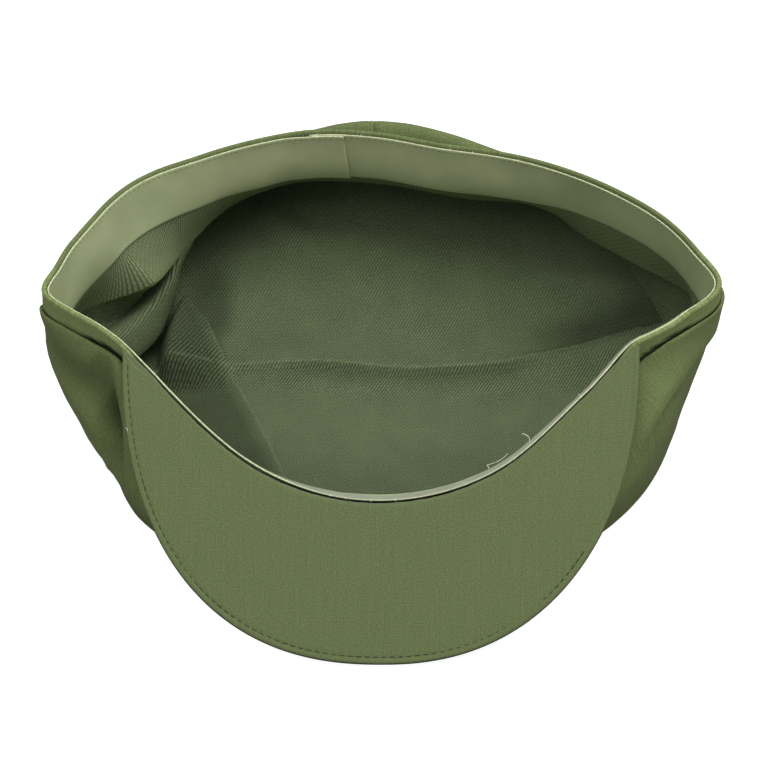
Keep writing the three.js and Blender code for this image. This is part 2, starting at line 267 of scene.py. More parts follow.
def addNode(tree, kind, links=None, **settings):
    # links gives inputs, by name or number, a value, a socket, or a node for its first output.
    made = tree.nodes.new(kind)
    for key, value in settings.items():
        setattr(made, key, value)
    for key, value in (links or {}).items():
        named = [socket for socket in made.inputs if socket.enabled and socket.name == key]
        socket = named[0] if named else made.inputs[key]
        if isinstance(value, bpy.types.Node):
            value = next(output for output in value.outputs if output.enabled)
        if isinstance(value, bpy.types.NodeSocket):
            tree.links.new(value, socket)
        else:
            socket.default_value = value
    return made


def newObject(name, data):
    made = bpy.data.objects.new(name, data)
    bpy.context.scene.collection.objects.link(made)
    return made


def meshObject(name, points, faces, uvs, materials, materialIndex):  # a closed mesh, facing outwards
    mesh = bpy.data.meshes.new(name)
    mesh.from_pydata(((points + shift) * mm).tolist(), [], faces)
    mesh.uv_layers.new(name="cloth").data.foreach_set("uv", np.asarray(uvs, np.float32).ravel())
    for material in materials:
        mesh.materials.append(material)
    mesh.polygons.foreach_set("material_index", np.asarray(materialIndex, np.int32))
    mesh.polygons.foreach_set("use_smooth", np.ones(len(mesh.polygons), bool))
    mesh.validate()
    mesh.update()
    if sum(face.area * face.center.dot(face.normal) for face in mesh.polygons) < 0:
        mesh.flip_normals()
    return newObject(name, mesh)


def finishPiece(piece, slotName, *nodes):
    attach(piece, "root")
    if nodes:
        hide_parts(*nodes)
    return piece


def writeValues(piece, name, values):  # one number for each point of a piece
    layer = piece.data.attributes.new(name, "FLOAT", "POINT")
    layer.data.foreach_set("value", np.asarray(values, np.float32).ravel())


def clothWall(name, lines, thick, ring, materials, turns=4, edges=(0, 0), rowAtZero=0, level=False,
              paintedShading=None):
    # lines is a grid of points in the cloth's middle, one line for each angle. The wall goes round
    # each line: outer face, rounded far edge, inner face, rounded near edge. The faces have the first
    # two materials, and edges gives those of the near and the far edge. The pattern counts from the
    # row rowAtZero, or lies level, as on cloth that was cut flat. The last argument gives the share of
    # tone that painted shade takes from each point of lines; below 0 it is painted light, paler.
    n, m = lines.shape[:2]
    normals = outwardNormals(lines, ring)
    half = np.broadcast_to(np.asarray(thick, float) / 2, (n, m))[..., None]
    outer = lines + normals * half
    inner = lines - normals * half
    tangents = np.gradient(lines, axis=1)
    tangents /= np.maximum(np.linalg.norm(tangents, axis=-1, keepdims=True), 1e-9)

    def roundEdge(j, sign):  # the points between both faces at the line's first or last row
        turnsAt = np.linspace(0, math.pi, turns + 1)[1:-1]
        return [lines[:, j] + half[:, j] * (sign * normals[:, j] * math.cos(a)
                + (1 if j else -1) * tangents[:, j] * math.sin(a)) for a in turnsAt]

    def carried(values):  # the line's values at each point round the wall
        return np.concatenate([values, np.repeat(values[:, -1:], turns - 1, 1), values[:, ::-1],
                               np.repeat(values[:, :1], turns - 1, 1)], 1)

    loop = np.stack([*outer.transpose(1, 0, 2), *roundEdge(m - 1, 1),
                     *inner[:, ::-1].transpose(1, 0, 2), *roundEdge(0, -1)], 1)
    kinds = [0] * (m - 1) + [edges[1]] * turns + [1] * (m - 1) + [edges[0]] * turns
    size = loop.shape[1]
    along = np.broadcast_to(arcLength(lines, 0)[:, rowAtZero, None], (n, m))
    down = arcLength(lines, 1)
    uv = carried(lines[..., :2] if level else np.stack([along, down - down[:, rowAtZero, None]], -1))
    count = n - 1 if ring else n
    points = loop[:count].reshape(-1, 3)
    i = np.arange(n - 1)[:, None]
    k = np.arange(size)[None, :]
    after = (k + 1) % size
    corners = [(i, k), (i, after), (i + 1, after), (i + 1, k)]
    faces = np.stack([(a % count) * size + b + 0 * i for a, b in corners], -1).reshape(-1, 4)
    faceUv = np.stack([uv[a + 0 * k, b + 0 * i] for a, b in corners], -2).reshape(-1, 4, 2)
    kind = np.broadcast_to(np.array(kinds)[None, :], (n - 1, size)).ravel()
    faceList = faces.tolist()
    uvList = list(faceUv.reshape(-1, 2))
    kindList = kind.tolist()
    if not ring:  # both cut ends are closed with quads, and their round corners with small fans
        insideAt = [2 * m + turns - 2 - j for j in range(m)]
        for line, forward in ((0, False), (n - 1, True)):
            base = line * size
            ends = [[j, j + 1, insideAt[j + 1], insideAt[j]] for j in range(m - 1)]
            ends.append([*range(m - 1, m + turns)])
            ends.append([*range(size - turns, size), 0])
            for corner in ends:
                ordered = corner if forward else corner[::-1]
                faceList.append([base + c for c in ordered])
                uvList.extend(uv[line, c] for c in ordered)
                kindList.append(edges[0])
    piece = meshObject(name, points, faceList, np.array(uvList), materials, kindList)
    if paintedShading is not None:
        writeValues(piece, "paintedShading", carried(paintedShading)[:count])
    return piece


# Materials. Patterns read the pieces' own UV map, which counts millimetres on the cloth.
def emptyMaterial(name):
    material = bpy.data.materials.new(name)
    material.use_nodes = True
    material.node_tree.nodes.clear()
    return material, material.node_tree


def addSurface(tree, finish, relief=None):  # the shader with this finish, over a bump where there is one
    if relief:
        finish = {**finish, "Normal": addNode(tree, "ShaderNodeBump", relief)}
    shader = addNode(tree, "ShaderNodeBsdfPrincipled", finish)
    addNode(tree, "ShaderNodeOutputMaterial", {"Surface": shader})


def foldedTone(tree, uv, place, tone, settings):
    # Cloth that lay folded for long: a thin pale line along the old fold, partly wear and partly a
    # painted highlight, painted shade beyond it, and pale lines of the same kind, painted shade and painted
    # light wherever the mesh says so.
    start, slope, bend = settings["foldLine"]
    turned = addNode(tree, "ShaderNodeMath", {0: place.outputs["Y"], 1: bend, 2: slope},
                     operation="MULTIPLY_ADD")
    line = addNode(tree, "ShaderNodeMath", {0: turned, 1: place.outputs["Y"], 2: start},
                   operation="MULTIPLY_ADD")
    off = addNode(tree, "ShaderNodeMath", {0: line, 1: place.outputs["X"]}, operation="SUBTRACT")
    away = addNode(tree, "ShaderNodeMath", {0: off}, operation="ABSOLUTE")
    near = addNode(tree, "ShaderNodeMapRange", {
        "Value": away, "From Min": 0.2, "From Max": 0.8, "To Min": settings["foldWorn"],
        "To Max": 0.0}, interpolation_type="SMOOTHSTEP")
    beyond = addNode(tree, "ShaderNodeMapRange", {
        "Value": off, "From Min": -2.0, "From Max": 7.0, "To Min": 1.0,
        "To Max": settings["foldShade"]}, interpolation_type="SMOOTHSTEP")
    paintedShade = addNode(tree, "ShaderNodeAttribute", attribute_name="paintedShading")
    kept = addNode(tree, "ShaderNodeMath", {0: 1.0, 1: paintedShade.outputs["Fac"]}, operation="SUBTRACT")
    kept = addNode(tree, "ShaderNodeMath", {0: kept, 1: beyond}, operation="MULTIPLY")
    dark = addNode(tree, "ShaderNodeMix", {
        "Factor": 1.0, "A": tone, "B": kept}, data_type="RGBA", blend_type="MULTIPLY")
    wearWithHighlight = addNode(tree, "ShaderNodeAttribute", attribute_name="wearWithHighlight")
    patchy = addNode(tree, "ShaderNodeTexNoise", {"Vector": uv, "Scale": 0.35, "Detail": 3.0})
    faded = addNode(tree, "ShaderNodeMapRange", {
        "Value": patchy, "From Min": 0.35, "From Max": 0.65, "To Min": 0.3, "To Max": 1.3})
    most = addNode(tree, "ShaderNodeMath", {0: near, 1: wearWithHighlight.outputs["Fac"]}, operation="MAXIMUM")
    most = addNode(tree, "ShaderNodeMath", {0: most, 1: faded}, operation="MULTIPLY")
    return addNode(tree, "ShaderNodeMix", {
        "Factor": most, "A": dark, "B": linear(settings["wearHighlightTone"])}, data_type="RGBA")


def twillCotton(name, settings):
    # Cotton twill seen on its ribbed side: slanting light ribs with dark grooves, broken by the
    # weft, over slow blotches where the dye took unevenly. turn is in degrees, ribPitch, floatLength
    # and relief are in mm. The ribs are drawn coarser than real, so that they show.
    material, tree = emptyMaterial(name)
    uv = addNode(tree, "ShaderNodeUVMap", uv_map="cloth")
    wobble = addNode(tree, "ShaderNodeTexNoise", {"Vector": uv, "Scale": 0.09, "Detail": 2.0})
    slow = addNode(tree, "ShaderNodeMath", {0: wobble, 1: 0.7}, operation="MULTIPLY")
    jitter = addNode(tree, "ShaderNodeTexNoise", {"Vector": uv, "Scale": 1.3, "Detail": 1.0})
    shake = addNode(tree, "ShaderNodeMath", {0: jitter, 1: settings["jitter"], 2: slow},
                    operation="MULTIPLY_ADD")
    turned = addNode(tree, "ShaderNodeMapping", {
        "Vector": uv, "Rotation": (0, 0, math.radians(settings["turn"])),
        "Scale": (settings["floatLength"], settings["ribPitch"], 1)}, vector_type="TEXTURE")
    parts = addNode(tree, "ShaderNodeSeparateXYZ", {0: turned})
    across = addNode(tree, "ShaderNodeMath", {0: parts.outputs["Y"], 1: shake}, operation="ADD")
    turnY = addNode(tree, "ShaderNodeMath", {0: across, 1: 2 * math.pi}, operation="MULTIPLY")
    wave = addNode(tree, "ShaderNodeMath", {0: turnY}, operation="COSINE")
    rib = addNode(tree, "ShaderNodeMapRange", {
        "Value": wave, "From Min": -0.95, "From Max": 0.55}, interpolation_type="SMOOTHSTEP")
    row = addNode(tree, "ShaderNodeMath", {0: across}, operation="ROUND")
    stagger = addNode(tree, "ShaderNodeMath", {0: row, 1: 0.37, 2: parts.outputs["X"]},
                      operation="MULTIPLY_ADD")
    turnX = addNode(tree, "ShaderNodeMath", {0: stagger, 1: 2 * math.pi}, operation="MULTIPLY")
    floats = addNode(tree, "ShaderNodeMath", {0: turnX}, operation="COSINE")
    float01 = addNode(tree, "ShaderNodeMapRange", {
        "Value": floats, "From Min": -1.0, "From Max": 0.2, "To Min": settings["breakDepth"]})
    ribFloat = addNode(tree, "ShaderNodeMath", {0: rib, 1: float01}, operation="MULTIPLY")
    yarn = addNode(tree, "ShaderNodeTexNoise", {"Vector": uv, "Scale": 1.7, "Detail": 3.0, "Roughness": 0.7})
    yarnLift = addNode(tree, "ShaderNodeMapRange", {
        "Value": yarn, "From Min": 0.25, "From Max": 0.75, "To Min": 0.55, "To Max": 1.1})
    height = addNode(tree, "ShaderNodeMath", {0: ribFloat, 1: yarnLift}, operation="MULTIPLY")
    flatter = addNode(tree, "ShaderNodeTexNoise", {"Vector": uv, "Scale": 0.035, "Detail": 2.0})
    pressed = addNode(tree, "ShaderNodeMapRange", {
        "Value": flatter, "From Min": 0.35, "From Max": 0.62, "To Min": settings["faint"]})
    place = addNode(tree, "ShaderNodeSeparateXYZ", {0: uv})
    for start, stop, atStart, atStop in settings.get("fades", ()):  # where the ribs are rubbed flatter
        fade = addNode(tree, "ShaderNodeMapRange", {
            "Value": place.outputs["Y"], "From Min": start, "From Max": stop, "To Min": atStart,
            "To Max": atStop}, interpolation_type="SMOOTHSTEP")
        pressed = addNode(tree, "ShaderNodeMath", {0: pressed, 1: fade}, operation="MULTIPLY")
    height = addNode(tree, "ShaderNodeMix", {"Factor": pressed, "A": 0.42, "B": height})
    blotch = addNode(tree, "ShaderNodeTexNoise", {"Vector": uv, "Scale": 0.07, "Detail": 4.0})
    dye = addNode(tree, "ShaderNodeMapRange", {"Value": blotch, "From Min": 0.3, "From Max": 0.7})
    ribTone = addNode(tree, "ShaderNodeMix", {
        "Factor": dye, "A": linear(settings["rib"]), "B": linear(settings["ribWorn"])},
        data_type="RGBA")
    tone = addNode(tree, "ShaderNodeMix", {
        "Factor": height, "A": linear(settings["groove"]), "B": ribTone}, data_type="RGBA")
    fuzz = addNode(tree, "ShaderNodeTexNoise", {"Vector": uv, "Scale": 1.9, "Detail": 3.0, "Roughness": 0.8})
    speckle = addNode(tree, "ShaderNodeMapRange", {
        "Value": fuzz, "From Min": 0.25, "From Max": 0.75,
        "To Min": 1 - settings["speckle"], "To Max": 1 + settings["speckle"]})
    tone = addNode(tree, "ShaderNodeMix", {
        "Factor": 1.0, "A": tone, "B": speckle}, data_type="RGBA", blend_type="MULTIPLY")
    if "foldLine" in settings:
        tone = foldedTone(tree, uv, place, tone, settings)
    addSurface(tree, {"Base Color": tone, "Roughness": 0.95, "IOR": 1.45, "Specular IOR Level": 0.2},
               {"Height": height, "Strength": settings["bump"], "Distance": settings["relief"] * mm})
    return material


def plainCotton(name, settings):
    # Cotton cloth on its smooth side: a fine even weave, pale slubs along the warp and slow,
    # slightly greener and browner patches. The weave is drawn coarser than real so that it shows. The
    # mesh gives painted shade on the cloth, and painted light where its value is below 0.
    material, tree = emptyMaterial(name)
    uv = addNode(tree, "ShaderNodeUVMap", uv_map="cloth")
    scaled = addNode(tree, "ShaderNodeVectorMath", {
        0: uv, 1: (math.pi / settings["threadPitch"],) * 3}, operation="MULTIPLY")
    parts = addNode(tree, "ShaderNodeSeparateXYZ", {0: scaled})
    warp = addNode(tree, "ShaderNodeMath", {0: parts.outputs["X"]}, operation="SINE")
    weft = addNode(tree, "ShaderNodeMath", {0: parts.outputs["Y"]}, operation="SINE")
    over = addNode(tree, "ShaderNodeMath", {0: warp, 1: weft}, operation="MULTIPLY")
    weave = addNode(tree, "ShaderNodeMath", {0: over}, operation="ABSOLUTE")
    stretch = addNode(tree, "ShaderNodeMapping", {"Vector": uv, "Scale": (1.1, 0.05, 1)})
    slub = addNode(tree, "ShaderNodeTexNoise", {
        "Vector": stretch, "Scale": 1.0, "Detail": 3.0, "Roughness": 0.65})
    fuzz = addNode(tree, "ShaderNodeTexNoise", {"Vector": uv, "Scale": 1.8, "Detail": 3.0, "Roughness": 0.8})
    blend = addNode(tree, "ShaderNodeMath", {0: slub, 1: settings["slub"], 2: fuzz},
                    operation="MULTIPLY_ADD")
    mixed = addNode(tree, "ShaderNodeMath", {0: weave, 1: settings["weave"], 2: blend},
                    operation="MULTIPLY_ADD")
    middle = 0.5 + 0.5 * settings["slub"] + 0.4 * settings["weave"]
    level = addNode(tree, "ShaderNodeMapRange", {
        "Value": mixed, "From Min": middle - 0.34, "From Max": middle + 0.34})
    blotch = addNode(tree, "ShaderNodeTexNoise", {"Vector": uv, "Scale": 0.06, "Detail": 4.0})
    patch = addNode(tree, "ShaderNodeMapRange", {"Value": blotch, "From Min": 0.35, "From Max": 0.65})
    base = addNode(tree, "ShaderNodeMix", {
        "Factor": patch, "A": linear(settings["green"]), "B": linear(settings["brown"])},
        data_type="RGBA")
    dark = addNode(tree, "ShaderNodeMix", {
        "Factor": settings["depth"], "A": base, "B": linear(settings["dark"])}, data_type="RGBA")
    light = addNode(tree, "ShaderNodeMix", {
        "Factor": settings["depth"], "A": base, "B": linear(settings["light"])}, data_type="RGBA")
    tone = addNode(tree, "ShaderNodeMix", {"Factor": level, "A": dark, "B": light}, data_type="RGBA")
    paintedShade = addNode(tree, "ShaderNodeAttribute", attribute_name="paintedShading")
    kept = addNode(tree, "ShaderNodeMath", {0: 1.0, 1: paintedShade.outputs["Fac"]}, operation="SUBTRACT")
    tone = addNode(tree, "ShaderNodeMix", {
        "Factor": 1.0, "A": tone, "B": kept}, data_type="RGBA", blend_type="MULTIPLY")
    addSurface(tree, {"Base Color": tone, "Roughness": 0.9, "IOR": 1.45, "Specular IOR Level": 0.25},
               {"Height": mixed, "Strength": settings["bump"], "Distance": 0.12 * mm})
    return material


def coatedTape(name, settings):
    # Cotton tape with a thin coat of plastic: smooth, cloudy, with a low sheen, and paler within
    # wornWidth of its cut edges, in mm, where the coat has worn.
    material, tree = emptyMaterial(name)
    uv = addNode(tree, "ShaderNodeUVMap", uv_map="cloth")
    cloud = addNode(tree, "ShaderNodeTexNoise", {"Vector": uv, "Scale": 0.045, "Detail": 3.0})
    clouds = addNode(tree, "ShaderNodeMapRange", {"Value": cloud, "From Min": 0.3, "From Max": 0.7})
    base = addNode(tree, "ShaderNodeMix", {
        "Factor": clouds, "A": linear(settings["light"]), "B": linear(settings["shade"])},
        data_type="RGBA")
    parts = addNode(tree, "ShaderNodeSeparateXYZ", {0: uv})
    fromMiddle = addNode(tree, "ShaderNodeMath", {
        0: parts.outputs["Y"], 1: form["tapeDepth"] / 2}, operation="SUBTRACT")
    away = addNode(tree, "ShaderNodeMath", {0: fromMiddle}, operation="ABSOLUTE")
    worn = addNode(tree, "ShaderNodeMapRange", {
        "Value": away, "From Min": form["tapeDepth"] / 2 - settings["wornWidth"],
        "From Max": form["tapeDepth"] / 2, "To Max": 0.6}, interpolation_type="SMOOTHSTEP")
    tone = addNode(tree, "ShaderNodeMix", {
        "Factor": worn, "A": base, "B": linear(settings["worn"])}, data_type="RGBA")
    fine = addNode(tree, "ShaderNodeTexNoise", {"Vector": uv, "Scale": 1.4, "Detail": 3.0})
    addSurface(tree, {"Base Color": tone, "Roughness": 0.5, "IOR": 1.48, "Specular IOR Level": 0.35},
               {"Height": fine, "Strength": 0.12, "Distance": 0.1 * mm})
    return material


def spunThread(name, colour):
    # Spun cotton thread: matt, with short light and dark turns of its twist.
    material, tree = emptyMaterial(name)
    place = addNode(tree, "ShaderNodeTexCoord")
    twist = addNode(tree, "ShaderNodeTexNoise", {
        "Vector": place.outputs["Object"], "Scale": 1 / (0.7 * mm), "Detail": 2.0})
    ramp = addNode(tree, "ShaderNodeMapRange", {
        "Value": twist, "From Min": 0.3, "From Max": 0.7, "To Min": 0.65, "To Max": 1.1})
    tone = addNode(tree, "ShaderNodeVectorMath", {0: linear(colour)[:3], 1: ramp}, operation="MULTIPLY")
    addSurface(tree, {"Base Color": tone, "Roughness": 0.8, "Specular IOR Level": 0.25})
    return material


# The crown top's twill has painted shade beyond its old fold line, and a pale line along that fold that is
# partly wear and partly a painted highlight.
innerTwill = twillCotton("twill_ribbed_side", {
    "turn": 60.0, "ribPitch": 1.05, "floatLength": 2.0, "breakDepth": 0.7, "bump": 0.5, "relief": 0.22,
    "jitter": 0.5, "speckle": 0.6, "faint": 0.7,
    "fades": ((-14.0, 3.0, 0.35, 1.0), (8.0, 15.0, 1.0, 0.68)),  # y from and to, the ribs' share there
    "rib": "#7f8c67", "ribWorn": "#738060", "groove": "#3b4530",
    "foldLine": (-53.0, -0.483, -0.00168), "foldWorn": 0.12, "foldShade": 0.55, "wearHighlightTone": "#98a580"})
sideTwill = twillCotton("twill_ribbed_side_of_crown_sides", {
    "turn": 8.0, "ribPitch": 1.05, "floatLength": 2.6, "breakDepth": 0.75, "bump": 0.5, "relief": 0.22,
    "jitter": 0.5, "speckle": 0.3, "faint": 0.5,
    "rib": "#84906a", "ribWorn": "#7a8665", "groove": "#363f29"})
bandTwill = twillCotton("twill_ribbed_side_of_band", {
    "turn": 86.0, "ribPitch": 0.98, "floatLength": 2.6, "breakDepth": 0.6, "bump": 0.5, "relief": 0.2,
    "jitter": 0.4, "speckle": 0.22, "faint": 0.7,
    "rib": "#a0a981", "ribWorn": "#949e7a", "groove": "#5b6545"})
smoothCotton = plainCotton("cotton_smooth_side", {
    "threadPitch": 0.62, "weave": 0.06, "slub": 0.25, "bump": 0.6, "depth": 1.0,
    "green": "#627644", "brown": "#687344", "dark": "#3b4926", "light": "#8e9b66"})
peakCotton = plainCotton("cotton_stretched_on_peak", {
    "threadPitch": 0.62, "weave": 0.06, "slub": 0.16, "bump": 0.6, "depth": 1.0,
    "green": "#5c6f47", "brown": "#656c44", "dark": "#3e4b2c", "light": "#849062"})
# The peak's lower edge is painted dark with this cloth, as the shade under it.
paintedShadeCotton = plainCotton("cotton_painted_shade_edge", {
    "threadPitch": 0.62, "weave": 0.3, "slub": 0.3, "bump": 0.3, "depth": 0.4,
    "green": "#2b3122", "brown": "#2e3023", "dark": "#1f2418", "light": "#404636"})
tape = coatedTape("coated_tape", {
    "light": "#bec599", "shade": "#abb38a", "worn": "#d2daaa", "wornWidth": 0.35})
wornTape = coatedTape("tape_worn_grey", {
    "light": "#9a9f89", "shade": "#858b74", "worn": "#c4c9b2", "wornWidth": 0.3})
rawEdge = spunThread("raw_tape_edge", "#e4eabc")
oliveThread = spunThread("olive_thread", "#78825a")
darkThread = spunThread("dark_green_thread", "#39442a")
paleThread = spunThread("pale_thread", "#e6ead8")
greyThread = spunThread("grey_green_thread", "#86907a")
seamHighlightThread = spunThread("seam_edge_painted_highlight", "#9aa67a")
print("materials made")

# Head band: two layers of cloth folded at the rim. At the front it drops behind the peak's edge.
band = {"thick": 1.8, "frontThick": 1.0, "frontDrop": 3.2, "frontAt": (206.0, 215.0, 325.0, 334.0),
        "steps": 14, "alongSteps": 16, "ripple": 0.25, "rippleSize": 16.0,
        "flare": 0.9, "flareAt": (0.0, 8.0, 9.0, 19.0), "gapHighest": (53.0, 60.0),
        "paintedLightAbove": 0.4, "gapShade": 0.93, "shadowAbove": 0.3,
        "shadowEnds": ((208.0, 9.0, 1.0), (334.0, 13.0, 1.6))}  # angle, half width, mm higher there


def frontShare(angle):  # 0 round the back, 1 where the peak is sewn on
    return between(np.mod(angle, 360), *band["frontAt"])


def gapShare(angle):  # 1 where the side's crest stands close to the band
    wide = at["crestR"](angle) - at["rim"](angle)
    return between(wide, -1, 1, 5, 9) * smooth(at["crestZ"](angle), *band["gapHighest"])


def bandLines(angles, steps):
    flat = alongCut(bandCut(angles), steps)
    return inSection(angles[:, None], flat[..., 0], flat[..., 1])


def makeBand():
    back = form["seams"]["back"]
    angles = anglesBetween(back, back + 360, band["steps"])
    lines = bandLines(angles, band["alongSteps"])
    share = frontShare(angles)[:, None]
    depth = np.linspace(0, 1, lines.shape[1])[None, :]
    lines[..., 2] -= band["frontDrop"] * share * (1 - smooth(depth, 0, 0.25))
    thick = band["thick"] + (band["frontThick"] - band["thick"]) * share * (1 - smooth(depth, 0.1, 0.4))
    ripple = band["ripple"] * grain(lines, band["rippleSize"], 3) * smooth(depth, 0.0, 0.5)
    close = gapShare(angles)[:, None]
    ripple = ripple + band["flare"] * close * between(depth * form["bandDepth"], *band["flareAt"])
    lines = lines + outwardNormals(lines, True) * ripple[..., None]
    lines[-1] = lines[0]
    # Where the side's crest stands close: painted shade on the band's outer face down in the gap, below
    # shadowTop, and painted light on the face above it.
    shadowTop = at["crestZ"](angles) + band["shadowAbove"]
    for middle, width, higher in band["shadowEnds"]:
        shadowTop = shadowTop + higher * (1 - smooth(np.abs(angles - middle), 0, width))
    above = smooth(lines[..., 2] - shadowTop[:, None], 0.2, 1.2)
    paintedShading = close * (band["gapShade"] * (1 - above) - band["paintedLightAbove"] * above)
    piece = clothWall("bandCloth", lines, thick, True, [smoothCotton, bandTwill], turns=6,
                      rowAtZero=band["alongSteps"], paintedShading=paintedShading)
    return finishPiece(piece, "band_cloth", "band")


makeBand()
print("band made")

# Sweatband: a coated tape inside the band, whose upper end laps over its lower one near the back.
sweat = {"thick": 0.5, "frontThick": 0.6, "inward": 1.4, "frontInward": 0.22, "steps": 14,
         "alongSteps": 20, "edgeDrop": 0.45, "frontLift": 0.45,
         "waves": ((0.35, 30, 5), (0.12, 9, 6)),  # height, size, seed
         "frontLoose": 0.4, "looseAt": (210.0, 222.0, 240.0, 262.0),
         "lapStart": 101.0, "lapAngle": 12.0, "lapRamp": 9.0, "lapStep": 0.9, "lapSlant": 2.6,
         "rollWidth": 1.25, "rollAt": (225.0, 268.0, 338.0, 347.0), "rollLift": 0.95,
         "rollMiddle": 278.0, "rollTaper": 0.45, "rollTaperAt": (10.0, 45.0),
         "wornDepth": 1.6, "wornHalf": 64.0}  # mm below the rim, degrees to each side of the front


def tapeLines():
    start = sweat["lapStart"]
    angles = anglesBetween(start, start + 360 + sweat["lapAngle"], sweat["steps"])
    whole = bandLines(angles, sweat["alongSteps"])
    count = sweat["alongSteps"] + 1
    normals = outwardNormals(whole, False)[:, :count]
    depth = np.linspace(0, 1, count)[None, :]
    past = (angles - start - sweat["lapAngle"]) / sweat["lapRamp"]
    climb = sweat["lapStep"] * smooth(1 - past, 0, 1)
    turn = np.mod(angles, 360)
    front = frontShare(angles)
    loose = sweat["frontLoose"] * between(turn, *sweat["looseAt"])
    inward = sweat["inward"] + (sweat["frontInward"] - sweat["inward"]) * front + climb + loose
    lines = whole[:, :count] - normals * inward[:, None, None]
    lines[..., 2] -= sweat["edgeDrop"] * (1 - depth)
    wave = sum(height * grain(lines, size, seed) for height, size, seed in sweat["waves"])
    lines -= normals * (wave * smooth(depth, 0, 0.6))[..., None]
    lines[0, :, 0] += sweat["lapSlant"] * (depth[0] - 0.5)
    lines[1, :, 0] += 0.5 * sweat["lapSlant"] * (depth[0] - 0.5)
    roll = sweat["rollWidth"] * between(turn, *sweat["rollAt"]) * (
        1 - sweat["rollTaper"] * smooth(np.abs(turn - sweat["rollMiddle"]), *sweat["rollTaperAt"]))
    roll = roll[:, None]
    level = np.clip(depth * form["tapeDepth"] / np.maximum(roll, 0.1), 0, 1) * roll
    lines -= normals * (level * (1 - smooth(depth, 0.4, 1.0)))[..., None]
    lines[..., 2] += sweat["rollLift"] * level * (1 - smooth(depth, 0.3, 1.0))
    lines[..., 2] += sweat["frontLift"] * front[:, None] * (1 - smooth(depth, 0.2, 0.8))
    return angles, lines


def makeSweatband():
    angles, lines = tapeLines()
    thick = sweat["thick"] + (sweat["frontThick"] - sweat["thick"]) * frontShare(angles)[:, None]
    piece = clothWall("sweatbandTape", lines, thick, False, [tape, tape, rawEdge, wornTape], edges=(2, 0))
    uv = piece.data.uv_layers["cloth"].data
    for face in piece.data.polygons:  # the worn strip that is rolled out along the peak
        away = abs(math.degrees(math.atan2(face.center.x - shift[0] * mm, shift[1] * mm - face.center.y)))
        down = sum(uv[k].uv.y for k in face.loop_indices) / len(face.loop_indices)
        if face.material_index != 2 and away < sweat["wornHalf"] and down < sweat["wornDepth"]:
            face.material_index = 3
    return finishPiece(piece, "sweatband_tape", "sweatband")


makeSweatband()
print("sweatband made")


def crease(x, y, line):
    # The height at each place of a lip along a line, and the place's distance from it, positive on
    # the left of its run. left and right are the widths of the lip's slopes.
    path = alongCut(np.array(line["rows"], float), 6)
    best = np.full(x.shape, 1e9)
    height = np.zeros(x.shape)
    sideOf = np.zeros(x.shape)
    for a, b in zip(path[:-1], path[1:]):
        run = b[:2] - a[:2]
        t = np.clip(((x - a[0]) * run[0] + (y - a[1]) * run[1]) / (run @ run), 0, 1)
        offX, offY = x - a[0] - t * run[0], y - a[1] - t * run[1]
        far = np.hypot(offX, offY)
        nearer = far < best
        best = np.where(nearer, far, best)
        height = np.where(nearer, a[2] + t * (b[2] - a[2]), height)
        sideOf = np.where(nearer, run[0] * offY - run[1] * offX, sideOf)
    width = np.where(sideOf > 0, line["left"], line["right"])
    return height * (1 - smooth(best / width, 0, 1)), np.where(sideOf > 0, best, -best)


# Crown's sides: one front and two back pieces of soft cloth.
side = {"thick": 1.2, "seamDrop": 0.7, "seamTuck": 0.3, "seamTurn": 2.2, "bellyGap": 2.2, "roomy": 4.0,
        "footLift": 1.1, "steps": 14, "alongSteps": 10, "radius": 112.0, "gapShade": 0.9,
        "gather": 0.5, "gatherPitch": 1.9, "gatherUneven": 2.2, "gatherDrift": 11.0, "sag": 1.0,
        "sagSize": 26.0, "fine": 0.2, "fineSize": 8.0, "seamSink": 0.2, "seamWidth": 0.7}
foldRow = 3 * side["alongSteps"]  # rows of a side's grid, counted from the band's seam
crestRow = 4 * side["alongSteps"]
sideCreases = {  # rows of angle, mm below the crest, height; and the painted shade that each mm of hollow adds, which each mm of ridge takes off as painted light
    "rightRidge": {"left": 13.0, "right": 2.2, "shadingPerMm": 0.07, "rows": [
        [354, 10, 0.3], [349, 12.5, 1.3], [343, 14.5, 2.3], [336, 15.5, 2.6], [329, 16, 2.2],
        [322, 16, 0.8]]},
    "leftValley": {"left": 9.0, "right": 12.0, "shadingPerMm": 0.08, "rows": [
        [182, 4, 0.0], [188, 7, -0.6], [195, 13, -2.2], [202, 17, -3.8], [208, 19, -3.8],
        [216, 19, -1.5]]},
    "leftHollow": {"left": 13.0, "right": 10.0, "shadingPerMm": 0.03, "rows": [
        [204, 5, -0.6], [207.5, 9, -5.0], [212, 16, -9.0], [215, 27, -7.0]]},
    "leftRidge": {"left": 3.0, "right": 5.0, "shadingPerMm": 0.1, "rows": [
        [203, 42, 0.5], [208, 39, 1.0], [212, 38, 0.9], [215, 35, 0.3]]},
}


def sideLines(angles):
    flat = alongCut(sideCut(angles), side["alongSteps"])
    return inSection(angles[:, None], flat[..., 0], flat[..., 1])


